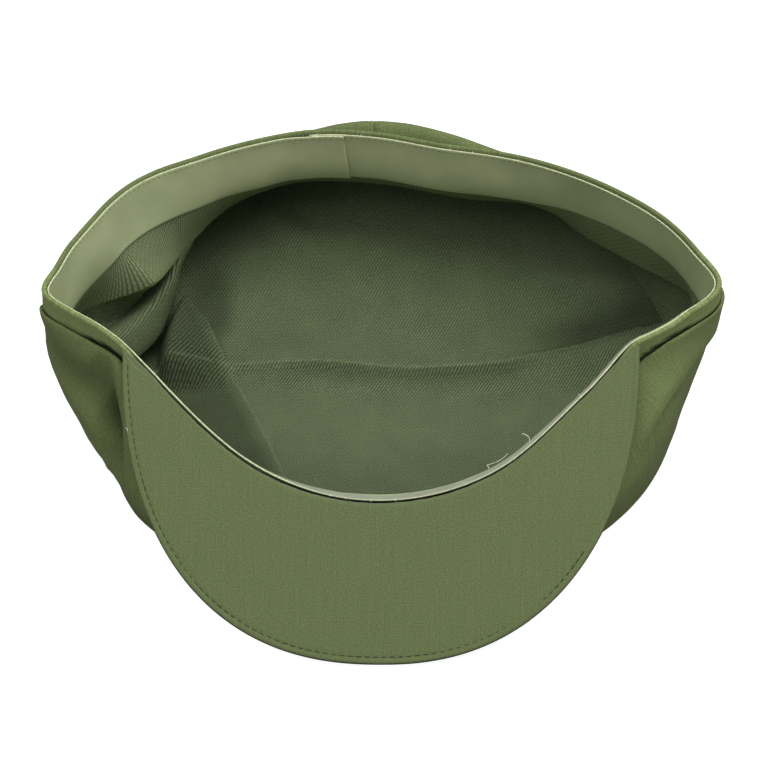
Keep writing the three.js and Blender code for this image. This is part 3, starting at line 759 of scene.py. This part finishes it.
def makeSide(name, node, start, stop):
    angles = anglesBetween(start, stop, side["steps"])
    lines = sideLines(angles)
    normals = outwardNormals(lines, False)
    row = np.arange(lines.shape[1])[None, :]
    depth = row / (lines.shape[1] - 1)
    down = arcLength(lines, 1)
    below = down - down[:, crestRow, None]
    around = arcLength(lines, 0)[:, lines.shape[1] // 2][:, None]
    uneven = side["gatherUneven"] * np.sin(around / side["gatherDrift"])
    gather = np.sin(around / side["gatherPitch"] + uneven) * between(depth, 0, 0.08, 0.05, 0.45)
    soft = grain(lines, side["sagSize"], 8) * between(depth, 0.1, 0.4, 0.8, 1.0)
    soft = soft * smooth(np.abs(below), 0, 10)
    off = side["gather"] * gather + side["sag"] * soft + side["fine"] * grain(lines, side["fineSize"], 9)
    toSeam = np.minimum(angles - start, stop - angles)[:, None]
    off = off * smooth(toSeam, 0, 3) - side["seamSink"] * np.exp(-(toSeam / side["seamWidth"]) ** 2)
    # Painted shade on the side down in the gap below the band, and for each crease painted shade in its
    # hollows and painted light on its ridges.
    inGap = 1 - smooth(row, foldRow + 6, crestRow - 0.5)
    paintedShading = side["gapShade"] * gapShare(angles)[:, None] * inGap
    perDegree = math.pi * side["radius"] / 180
    turn = angles[:, None] * perDegree + 0 * below
    for line in sideCreases.values():
        rows = np.array(line["rows"], float) * [perDegree, 1, 1]
        raised = crease(turn, below, {**line, "rows": rows})[0]
        off = off + raised
        paintedShading = paintedShading - line["shadingPerMm"] * raised
    piece = clothWall(name, lines + normals * off[..., None], side["thick"], False,
                      [smoothCotton, sideTwill], rowAtZero=foldRow, paintedShading=paintedShading)
    return finishPiece(piece, "crown_cloth", node)


seams = form["seams"]
makeSide("backLeftSideCloth", "crown_side_back_left", seams["back"], seams["left"])
makeSide("frontSideCloth", "crown_side_front", seams["left"], seams["right"])
makeSide("backRightSideCloth", "crown_side_back_right", seams["right"], seams["back"] + 360)
print("crown sides made")

# Crown's top: a soft round sheet that lies on the surface in its middle and climbs to its edge. Its
# grid has its closest rows along the press crease.
top = {"thick": 1.2, "rise": 1.5, "edgeOut": 0.5, "edgeSink": 0.3, "columns": 250, "frontRows": 56,
       "backRows": 96, "closeShare": 0.25, "spread": 1.7, "endShare": 0.2,
       "bulges": ((0.9, 34, 11, 0.3), (0.2, 7, 12, 0.2)),  # height, size, seed, share kept above zero
       "pressWearHighlight": 0.13, "wornWidth": 0.6}
# Painted shade on the crown top: in a band in front of the press crease, behind the crease's right end, in
# the pocket at the left, and towards the front edge.
paintedShade = {"front": 0.22, "frontFrom": (-60.0, -15.0, 44.0, 62.0), "frontDeep": (-12.0, -3.5, -0.9, 0.0),
          "right": 0.52, "rightFrom": (46.0, 78.0), "rightDeep": (-3.0, 2.0, 7.0, 20.0),
          "pocket": 0.42, "pocketAt": (-64.0, 38.0), "pocketSize": (12.0, 26.0),
          "rim": 0.17, "rimFrom": (22.0, 50.0)}  # shares of tone taken, and where in mm they start and end
creases = {  # rows of x, y, height
    "press": {"left": 20.0, "right": 4.2, "rows": [
        [-84, 0, 5.0], [-78, 3, 4.0], [-57.5, 8.4, 2.1], [-42, 10.9, 1.9], [-23, 11.6, 2.2],
        [6.7, 7.5, 2.7], [25, 8.4, 2.8], [43.7, 10.4, 2.2], [67.5, 14.1, 0.7], [84, 16.5, 0.0],
        [97, 19.6, 0.0]]},
    "pressRight": {"left": 3.0, "right": 20.0, "rows": [
        [34, 9.2, 0.0], [43.7, 10.4, 0.5], [67.5, 14.1, 2.2], [84, 16.5, 3.4], [97, 19.6, 4.2]]},
    "old": {"left": 1.6, "right": 1.3, "rows": [
        [-35, -44, 0.4], [-44.5, -20, 0.6], [-51, -4, 0.7], [-56, 6, 0.8], [-60.5, 14, 0.9],
        [-65, 23, 0.9]]},
    "backSoft": {"left": 13.0, "right": 9.0, "rows": [
        [-52, 84, 4.5], [-44, 74, 3.5], [-33, 64, 2.6], [-22, 56, 1.4], [-14, 51, 0.6]]},
    "rightSoft": {"left": 16.0, "right": 12.0, "rows": [
        [98, 38, 5.0], [78, 42, 3.6], [52, 43, 2.2], [30, 41, 1.2], [10, 40, 0.4]]},
}
panel = {  # the flat fold at the left: its plane, and its edge as x, y in order
    "level": -32.8, "slopeX": -0.579, "slopeY": 0.25, "edgeWidth": 3.5, "edge": [
        [-35, -44], [-44.5, -20], [-56, 6], [-65, 23], [-70, 27.5], [-75, 32], [-80, 36]],
    "frontAt": (-5.0, 4.0), "outerAt": (77.0, 85.0)}


def foldLift(x, y):  # how far the creases and the panel lift the cloth
    lift = sum(crease(x, y, line)[0] for line in creases.values())
    edge = {"rows": [[*spot, 1] for spot in panel["edge"]], "left": 1.0, "right": 1.0}
    inside = crease(x, y, edge)[1]
    plane = panel["level"] + panel["slopeX"] * x + panel["slopeY"] * y
    plane = plane * smooth(inside, -panel["edgeWidth"], 0.5) * smooth(y, *panel["frontAt"])
    plane = plane * (1 - smooth(np.hypot(x, y), *panel["outerAt"]))
    return np.maximum(lift, plane)


def topGrid():  # level places of the grid, a row of columns from the left end to the right one
    angles = form["seams"]["back"] + np.linspace(0, 360, 1441)
    edge = inSection(angles, at["footR"](angles) + top["edgeOut"], 0.0)[:-1, :2]
    edge = np.roll(edge, -np.argmin(edge[:, 0]), 0)
    right = np.argmax(edge[:, 0])
    middle = (edge[0, 0] + edge[right, 0]) / 2
    half = (edge[right, 0] - edge[0, 0]) / 2
    x = middle - half * np.cos(np.linspace(0.02, math.pi - 0.02, top["columns"]))
    front = np.interp(x, edge[:right + 1, 0], edge[:right + 1, 1])
    back = np.interp(x, edge[right:, 0][::-1], edge[right:, 1][::-1])
    press = alongCut(np.array(creases["press"]["rows"], float), 6)
    line = np.interp(x, press[:, 0], press[:, 1])
    line = np.clip(line, front + top["endShare"] * (back - front), back - top["endShare"] * (back - front))

    def spread(count):
        u = np.linspace(0, 1, count + 1)
        return top["closeShare"] * u + (1 - top["closeShare"]) * u ** top["spread"]

    near = line[:, None] + (front - line)[:, None] * spread(top["frontRows"])[::-1]
    far = line[:, None] + (back - line)[:, None] * spread(top["backRows"])[1:]
    y = np.concatenate([near, far], 1)
    return np.broadcast_to(x[:, None], y.shape), y


def makeTop():
    x, y = topGrid()
    angle = np.degrees(np.arctan2(y, x))
    f = np.clip(np.hypot(x, y) / (at["footR"](angle) + top["edgeOut"]), 0, 1)
    flat = at["flat"](angle)
    climb = np.clip((f - flat) / (1 - flat), 0, None) ** top["rise"]
    lift = foldLift(x, y) * np.clip(5 * (1 - f), 0, 1)
    z = (at["footZ"](angle) - top["edgeSink"]) * climb + lift + top["thick"] / 2
    lines = np.stack([x, y, z], -1)
    for height, size, seed, kept in top["bulges"]:
        lines[..., 2] += height * np.clip(grain(lines * [1, 1, 0], size, seed) + kept, 0, 1)
    piece = clothWall("crownTopCloth", lines, top["thick"], False, [smoothCotton, innerTwill], level=True)
    places = np.empty(len(piece.data.vertices) * 3)
    piece.data.vertices.foreach_get("co", places)
    x, y = (places.reshape(-1, 3) / mm - shift).T[:2]
    # The crown top's painted shade, and a pale line along the press crease that is partly wear and partly a
    # painted highlight.
    beyond = crease(x, y, creases["press"])[1]
    paintedShading = paintedShade["front"] * between(x, *paintedShade["frontFrom"]) * between(beyond, *paintedShade["frontDeep"])
    paintedShading += paintedShade["right"] * smooth(x, *paintedShade["rightFrom"]) * between(beyond, *paintedShade["rightDeep"])
    pocket = np.hypot((x - paintedShade["pocketAt"][0]) / paintedShade["pocketSize"][0],
                      (y - paintedShade["pocketAt"][1]) / paintedShade["pocketSize"][1])
    paintedShading += paintedShade["pocket"] * (1 - smooth(pocket, 0.3, 1))
    paintedShading += paintedShade["rim"] * smooth(-y, *paintedShade["rimFrom"])
    writeValues(piece, "paintedShading", paintedShading)
    writeValues(piece, "wearWithHighlight", top["pressWearHighlight"] * np.exp(-((beyond - 0.2) / top["wornWidth"]) ** 2))
    return finishPiece(piece, "crown_cloth", "crown_top")


makeTop()
print("crown top made")

# Peak: a stiff crescent covered with cloth, with a stitch line near its edge.
peak = {"innerGap": 0.08, "steps": 32, "across": 44, "closer": 1.25, "edgeTurns": 8, "edgeRound": 0.9,
        "grooveIn": 1.6, "grooveWidth": 0.45, "grooveDepth": 0.22, "waves": ((0.22, 22, 14), (0.06, 6, 15)),
        "darkFrom": 0.16, "darkTo": 0.84}
peakSlope = math.radians(form["peakSlope"])
peakUp = np.array([0, -math.sin(peakSlope), math.cos(peakSlope)])
peakBack = np.array([0, math.cos(peakSlope), math.sin(peakSlope)])


def peakOutline(turn):  # level places on the outer edge, 0 at its left end to 180 at its right one
    power = 2 / np.where(np.asarray(turn) < 90, *form["peakRoundness"])
    across = -np.cos(np.radians(turn))
    half = np.where(np.asarray(turn) < 90, *form["peakHalfWidths"])
    x = form["peakMiddle"] + half * np.sign(across) * np.abs(across) ** power
    y = form["peakEndY"] - form["peakReach"] * np.sin(np.radians(turn)) ** power * math.cos(peakSlope)
    return x, y


def onPeak(x, y, lift):  # a point on the peak's upper face, that far above it
    middle = np.stack([x, y, peakPlane(y) - form["peakThick"] / 2], -1)
    return middle + peakUp * np.asarray(form["peakThick"] / 2 + lift)[..., None]


def peakInside(angles):  # the peak's edge along the band, level
    return inSection(angles, at["rim"](angles), 0.0 * angles) + rimOut(angles) * peak["innerGap"]


def makePeak():
    angles = anglesBetween(form["peakStart"], form["peakStop"], peak["steps"])
    share = (angles - form["peakStart"]) / (form["peakStop"] - form["peakStart"])
    outX, outY = peakOutline(form["peakEndTurn"] + share * (180 - 2 * form["peakEndTurn"]))
    inner = peakInside(angles)
    f = 1 - (1 - np.linspace(0, 1, peak["across"] + 1)) ** peak["closer"]
    x = inner[:, None, 0] + (outX - inner[:, 0])[:, None] * f
    y = inner[:, None, 1] + (outY - inner[:, 1])[:, None] * f
    edge = np.stack(peakOutline(np.linspace(0.3, 179.7, 900)), -1) / [1, math.cos(peakSlope)]
    flat = np.stack([x, y], -1) / [1, math.cos(peakSlope)]
    fromEdge = np.sqrt(((flat[:, :, None, :] - edge) ** 2).sum(-1).min(-1))
    half = form["peakThick"] / 2
    lines = np.stack([x, y, peakPlane(y) - half], -1)
    groove = np.exp(-((fromEdge - peak["grooveIn"]) / peak["grooveWidth"]) ** 2) * peak["grooveDepth"]
    wave = sum(height * grain(lines, size, seed) for height, size, seed in peak["waves"])
    upper = lines + peakUp * (half - groove + wave * smooth(fromEdge, 0, 1.2))[..., None]
    lower = lines - peakUp * half
    outward = flat[:, -1] - flat[:, -2]
    outward /= np.linalg.norm(outward, axis=-1, keepdims=True)
    outward = outward[:, :1] * [1, 0, 0] + outward[:, 1:] * peakBack
    turns = np.linspace(0, math.pi, peak["edgeTurns"] + 1)[1:-1]
    rim = [lines[:, -1] + peakUp * half * math.cos(a) + outward * peak["edgeRound"] * math.sin(a)
           for a in turns]
    loop = np.stack([*upper.transpose(1, 0, 2), *rim, *lower[:, ::-1].transpose(1, 0, 2)], 1)
    n, m = lines.shape[:2]
    size = loop.shape[1]
    faces, kinds = [], []
    for i in range(n - 1):  # the edge is painted dark as shade below its middle, and almost whole round the tip
        tip = peak["darkFrom"] < share[i] < peak["darkTo"]
        dark = range(m - 1 + (2 if tip else peak["edgeTurns"] // 2), m + peak["edgeTurns"])
        for k in range(size):
            after = (k + 1) % size
            faces.append([i * size + k, i * size + after, (i + 1) * size + after, (i + 1) * size + k])
            kinds.append(int(k in dark))
    for line, forward in ((0, True), (n - 1, False)):  # both cut ends
        ends = [(j, j + 1, size - 2 - j, size - 1 - j) for j in range(m - 1)]
        for corners in [*ends, range(m - 1, m + peak["edgeTurns"])]:
            corner = [line * size + c for c in corners]
            faces.append(corner[::-1] if forward else corner)
            kinds.append(0)
    points = loop.reshape(-1, 3)
    uvs = (points[:, :2] / [1, math.cos(peakSlope)])[np.concatenate(faces)]
    piece = meshObject("peakCloth", points, faces, uvs, [peakCotton, paintedShadeCotton], kinds)
    return finishPiece(piece, "peak_cloth", "peak")


makePeak()
print("peak made")

# Stitches and loose threads, made by Geometry Nodes along paths.
stitches = {  # spacing, length and thickness in mm
    "peak": (2.8, 2.2, 0.42), "tape": (2.2, 1.3, 0.24), "unevenness": 0.2, "tapeDown": 1.0, "seed": 7,
    "besidePeak": (210.0, 338.0)}  # no tape stitches between these angles
threads = {"radius": 0.13, "frayRadius": 0.12, "seamRadius": 0.28, "frayLift": (0.15, 2.5, 21),
           "frayOff": (0.12, 3.0, 22), "frayEnds": 1.5, "strandAt": (208.8, 214.5)}


def nodeTree(name, *labels):  # an empty Geometry Nodes tree with its named inputs
    tree = bpy.data.node_groups.new(name, "GeometryNodeTree")
    tree.interface.new_socket("Geometry", in_out="INPUT", socket_type="NodeSocketGeometry")
    for label in labels:
        tree.interface.new_socket(label, in_out="INPUT", socket_type="NodeSocketFloat")
    tree.interface.new_socket("Geometry", in_out="OUTPUT", socket_type="NodeSocketGeometry")
    return tree, addNode(tree, "NodeGroupInput").outputs


def endTree(tree, geometry, material):  # plain geometry in that material
    real = addNode(tree, "GeometryNodeRealizeInstances", {0: geometry})
    done = addNode(tree, "GeometryNodeSetMaterial", {"Geometry": real, "Material": material})
    addNode(tree, "NodeGroupOutput", {"Geometry": done})


def stitchTree(name, material):  # rounded stitches along each path, a little uneven
    tree, given = nodeTree(name, "Spacing", "Length", "Thickness", "Unevenness")
    path = addNode(tree, "GeometryNodeMeshToCurve", {"Mesh": given["Geometry"]})
    spots = addNode(tree, "GeometryNodeCurveToPoints", {
        "Curve": path, "Length": given["Spacing"]}, mode="LENGTH")
    bead = addNode(tree, "GeometryNodeMeshUVSphere", {"Segments": 8, "Rings": 6, "Radius": 0.5})
    least = addNode(tree, "ShaderNodeMath", {0: 1.0, 1: given["Unevenness"]}, operation="SUBTRACT")
    most = addNode(tree, "ShaderNodeMath", {0: 1.0, 1: given["Unevenness"]}, operation="ADD")
    vary = addNode(tree, "FunctionNodeRandomValue", {"Min": least, "Max": most, "Seed": stitches["seed"]},
                   data_type="FLOAT")
    long = addNode(tree, "ShaderNodeMath", {0: given["Length"], 1: vary}, operation="MULTIPLY")
    size = addNode(tree, "ShaderNodeCombineXYZ", {
        "X": given["Thickness"], "Y": given["Thickness"], "Z": long})
    placed = addNode(tree, "GeometryNodeInstanceOnPoints", {
        "Points": spots, "Instance": bead, "Rotation": spots.outputs["Rotation"], "Scale": size})
    endTree(tree, placed, material)
    return tree


def threadTree(name, material):  # a round thread along each path
    tree, given = nodeTree(name, "Radius")
    path = addNode(tree, "GeometryNodeMeshToCurve", {"Mesh": given["Geometry"]})
    ring = addNode(tree, "GeometryNodeCurvePrimitiveCircle", {"Resolution": 7, "Radius": given["Radius"]})
    tube = addNode(tree, "GeometryNodeCurveToMesh", {
        "Curve": path, "Profile Curve": ring, "Fill Caps": True})
    endTree(tree, tube, material)
    return tree


def alongPaths(name, paths, tree, numbers, slotName):  # the tree's result along paths, as a plain mesh
    points = (np.concatenate(paths) + shift) * mm
    counts = [len(p) for p in paths]
    starts = np.cumsum([0] + counts[:-1])
    edges = [(int(a) + i, int(a) + i + 1) for a, count in zip(starts, counts) for i in range(count - 1)]
    mesh = bpy.data.meshes.new(name + "Path")
    mesh.from_pydata(points.tolist(), edges, [])
    holder = newObject(name + "Path", mesh)
    modifier = holder.modifiers.new("alongPath", "NODES")
    modifier.node_group = tree
    for item in tree.interface.items_tree:
        if item.item_type == "SOCKET" and item.in_out == "INPUT" and item.name in numbers:
            modifier[item.identifier] = numbers[item.name]
    evaluated = holder.evaluated_get(bpy.context.evaluated_depsgraph_get())
    made = newObject(name, bpy.data.meshes.new_from_object(evaluated))
    made.data.name = name
    holder.modifiers.remove(modifier)
    bpy.data.objects.remove(holder)
    made.data.polygons.foreach_set("use_smooth", np.ones(len(made.data.polygons), bool))
    return finishPiece(made, slotName)


def stitchNumbers(row):  # the trees' inputs for the row at the peak or the tape
    spacing, length, thickness = stitches[row]
    return {"Spacing": spacing * mm, "Length": length * mm, "Thickness": thickness * mm,
            "Unevenness": stitches["unevenness"]}


def resample(points, step):  # the same path with even steps
    run = np.concatenate([[0], np.cumsum(np.linalg.norm(np.diff(points, axis=0), axis=1))])
    wanted = np.linspace(0, run[-1], max(3, int(run[-1] / step)))
    return np.stack([np.interp(wanted, run, points[:, k]) for k in range(points.shape[1])], -1)


def tapeStitches():  # the row that holds the tape, just below its raw edge
    angles, lines = tapeLines()
    normals = outwardNormals(lines, False)
    down = arcLength(lines, 1)
    pick = np.arange(len(angles)), np.abs(down - stitches["tapeDown"]).argmin(1)
    onFace = lines[pick] - normals[pick] * (sweat["thick"] / 2 + 0.02)
    turn = np.mod(angles, 360)
    front = np.flatnonzero((turn >= stitches["besidePeak"][0]) & (turn <= stitches["besidePeak"][1]))
    paths = [resample(p, 1.5) for p in (onFace[:front[0]], onFace[front[-1] + 1:])]
    alongPaths("tapeStitches", paths, stitchTree("tape stitches", oliveThread), stitchNumbers("tape"),
               "sweatband_tape")


def peakStitches():  # the row near the peak's edge, from its left end round to the right of its tip
    flat = np.stack(peakOutline(np.linspace(3, 140, 300)), -1) / [1, math.cos(peakSlope)]
    run = np.gradient(flat, axis=0)
    inward = np.stack([-run[:, 1], run[:, 0]], -1) / np.linalg.norm(run, axis=1, keepdims=True)
    x, y = ((flat + inward * peak["grooveIn"]) * [1, math.cos(peakSlope)]).T
    spot = onPeak(x, y, 0 * x - peak["grooveDepth"])
    alongPaths("peakStitches", [resample(spot, 2.0)], stitchTree("peak stitches", darkThread),
               stitchNumbers("peak"), "peak_cloth")


def fraying():  # the raw upper edge of the peak's cloth, a thin greyish line, with one strand that is off
    inset = threads["frayEnds"]
    angles = np.linspace(form["peakStart"] + inset, form["peakStop"] - inset, 420)
    inner = peakInside(angles)
    spot = onPeak(inner[:, 0], inner[:, 1], 0 * angles - 0.1)
    height, size, seed = threads["frayLift"]
    spot[:, 2] += height * grain(spot, size, seed)
    height, size, seed = threads["frayOff"]
    spot += rimOut(angles) * height * grain(spot, size, seed)[:, None]
    arc = np.linspace(*threads["strandAt"], 16)
    away = 0.8 + 0.9 * np.sin((arc - arc[0]) * 0.5)
    strand = inSection(arc, at["rim"](arc), 0.0 * arc) + rimOut(arc) * away[:, None]
    strand = onPeak(strand[:, 0], strand[:, 1], 0 * arc)
    alongPaths("peakRawEdge", [spot, strand], threadTree("raw edge", greyThread),
               {"Radius": threads["frayRadius"] * mm}, "peak_cloth")


def curl(start, run, bend, steps=9):  # a short bent thread from a point
    t = np.linspace(0, 1, steps)[:, None]
    return np.asarray(start) + np.asarray(run) * t + np.asarray(bend) * np.sin(t * math.pi)


nubs = [  # thread ends at the tape's edge: angle, run outward, run up
    [121.4, 1.3, 0.9], [118.5, -0.8, 0.7], [110.2, 1.2, 1.1], [96.2, 1.0, 0.8], [95.0, -1.0, 0.8],
    [63.9, 1.4, 1.0], [62.3, -1.1, 0.9], [57.1, 1.3, 1.1], [43.3, 1.2, 0.8], [41.0, -0.9, 0.6],
    [147.0, 0.9, 0.7], [158.0, -0.8, 0.6], [18.0, 0.9, 0.6], [269.0, 1.2, 0.3], [273.4, 0.9, 0.3],
    [259.0, 0.8, 0.4], [262.5, 0.8, 0.3], [301.0, 0.8, 0.5], [318.0, -1.0, 0.9]]
strands = [  # threads inside the crown and on the peak: start, run, bend, steps
    [[38.4, -42.8, 4.2], [7.6, 5.3, 0.4], [0.7, -0.9, 0.4], 16],
    [[38.4, -42.8, 4.2], [0.7, -1.7, 0.1], [0.1, 0.0, 0.1], 5],
    [[51.0, -73.4, 47.2], [-2.6, 2.2, 2.6], [0.9, 0.3, 0.6], 9]]


def looseThreads():
    angles, lines = tapeLines()
    paths = []
    covered = 20  # lines of the tape's first end, which carries no threads
    for angle, out, up in nubs:
        k = np.abs(np.mod(angles - angle + 180, 360) - 180)[covered:].argmin() + covered
        start = lines[k, 0] + [0, 0, 0.1]
        away = rimOut(angles[k])
        paths.append(curl(start, away * out + [0, 0, up], away * 0.25))
    paths += [curl(*strand) for strand in strands]
    x, y = peakOutline(13.0)
    paths.append(curl(onPeak(x, y, 0.05), [-0.6, 0.5, 1.0], [0.3, 0.2, 0.0]))
    alongPaths("looseThreads", paths, threadTree("loose threads", paleThread),
               {"Radius": threads["radius"] * mm}, "sweatband_tape")


def backSeam():  # the folded edge of the seam down the back, a thin thread painted pale as a highlight
    lines = sideLines(np.array([90.8, 92.2, 93.6]))
    outside = lines[1] + outwardNormals(lines, False)[1] * (side["thick"] / 2 - 0.05)
    alongPaths("backSeamEdge", [outside[foldRow + 2:-3]], threadTree("seam edge", seamHighlightThread),
               {"Radius": threads["seamRadius"] * mm}, "crown_cloth")


tapeStitches()
peakStitches()
fraying()
looseThreads()
backSeam()
print("stitches made")

# Studio: a pale floor, soft lamps that are strongest above and at the right, and white surroundings.
studio = {"floorSize": 6.0, "floorTone": "#a9a9a7", "floorGlow": 0.93, "lampSize": 0.8, "surround": 0.2,
          "lampAim": (0.0, 0.0, 0.04)}
lamps = {  # x, y, z in metres and watts
    "topLight": [0.0, 0.0, 1.6, 7.6], "rightLight": [1.1, 0.0, 1.2, 5.6],
    "rightTopLight": [0.65, 0.1, 1.5, 6.2], "frontLeftLight": [-0.8, -0.8, 1.2, 3.2],
    "frontTopLight": [0.0, -0.6, 1.5, 2.8], "backLight": [0.0, 1.1, 1.2, 2.6],
    "leftLight": [-1.1, 0.0, 1.2, 1.7]}


def makeStudio():
    # The floor is matt white board. It glows for the camera alone, so that it shows nearly white.
    half = studio["floorSize"] / 2
    mesh = bpy.data.meshes.new("floor")
    mesh.from_pydata([(-half, -half, 0), (half, -half, 0), (half, half, 0), (-half, half, 0)], [],
                     [(0, 1, 2, 3)])
    material, tree = emptyMaterial("matt_white_board")
    seen = addNode(tree, "ShaderNodeLightPath")
    glow = addNode(tree, "ShaderNodeMath", {
        0: seen.outputs["Is Camera Ray"], 1: studio["floorGlow"]}, operation="MULTIPLY")
    addSurface(tree, {"Base Color": linear(studio["floorTone"]), "Roughness": 0.95,
                      "Emission Color": (1, 1, 1, 1), "Emission Strength": glow})
    mesh.materials.append(material)
    newObject("floor", mesh)
    for name, (x, y, z, watts) in lamps.items():
        light = bpy.data.lights.new(name, "AREA")
        light.energy = watts
        light.size = studio["lampSize"]
        lamp = newObject(name, light)
        lamp.location = (x, y, z)
        aim = Vector(studio["lampAim"]) - lamp.location
        lamp.rotation_euler = aim.to_track_quat("-Z", "Y").to_euler()
    world = bpy.data.worlds.new("white_surroundings")
    world.use_nodes = True
    world.node_tree.nodes["Background"].inputs["Color"].default_value = (1, 1, 1, 1)
    world.node_tree.nodes["Background"].inputs["Strength"].default_value = studio["surround"]
    bpy.context.scene.world = world
    bpy.context.scene.view_settings.view_transform = "Standard"


camera = {"elevation": 45.0, "distance": 1000.0, "pixelsPerMm": 2.7, "imageWidth": 780, "sensor": 36.0,
          "middleAt": (380, 389)}


def makeCamera():
    # middleAt is the pixel where the photograph shows the cap's middle at the surface.
    tilt = math.radians(camera["elevation"])
    offX = (camera["imageWidth"] / 2 - camera["middleAt"][0]) / camera["pixelsPerMm"]
    offUp = (camera["middleAt"][1] - camera["imageWidth"] / 2) / camera["pixelsPerMm"]
    up = np.array([0, math.sin(tilt), math.cos(tilt)])
    back = np.array([0, -math.cos(tilt), math.sin(tilt)])
    aim = shift + np.array([offX, 0, 0]) + up * offUp
    lens = bpy.data.cameras.new("camera")
    lens.sensor_width = camera["sensor"]
    lens.lens = camera["pixelsPerMm"] * camera["distance"] / camera["imageWidth"] * camera["sensor"]
    eye = newObject("camera", lens)
    eye.location = (aim + back * camera["distance"]) * mm
    eye.rotation_euler = (math.radians(90 - camera["elevation"]), 0, 0)
    bpy.context.scene.camera = eye


makeStudio()
makeCamera()
print("studio and camera made")
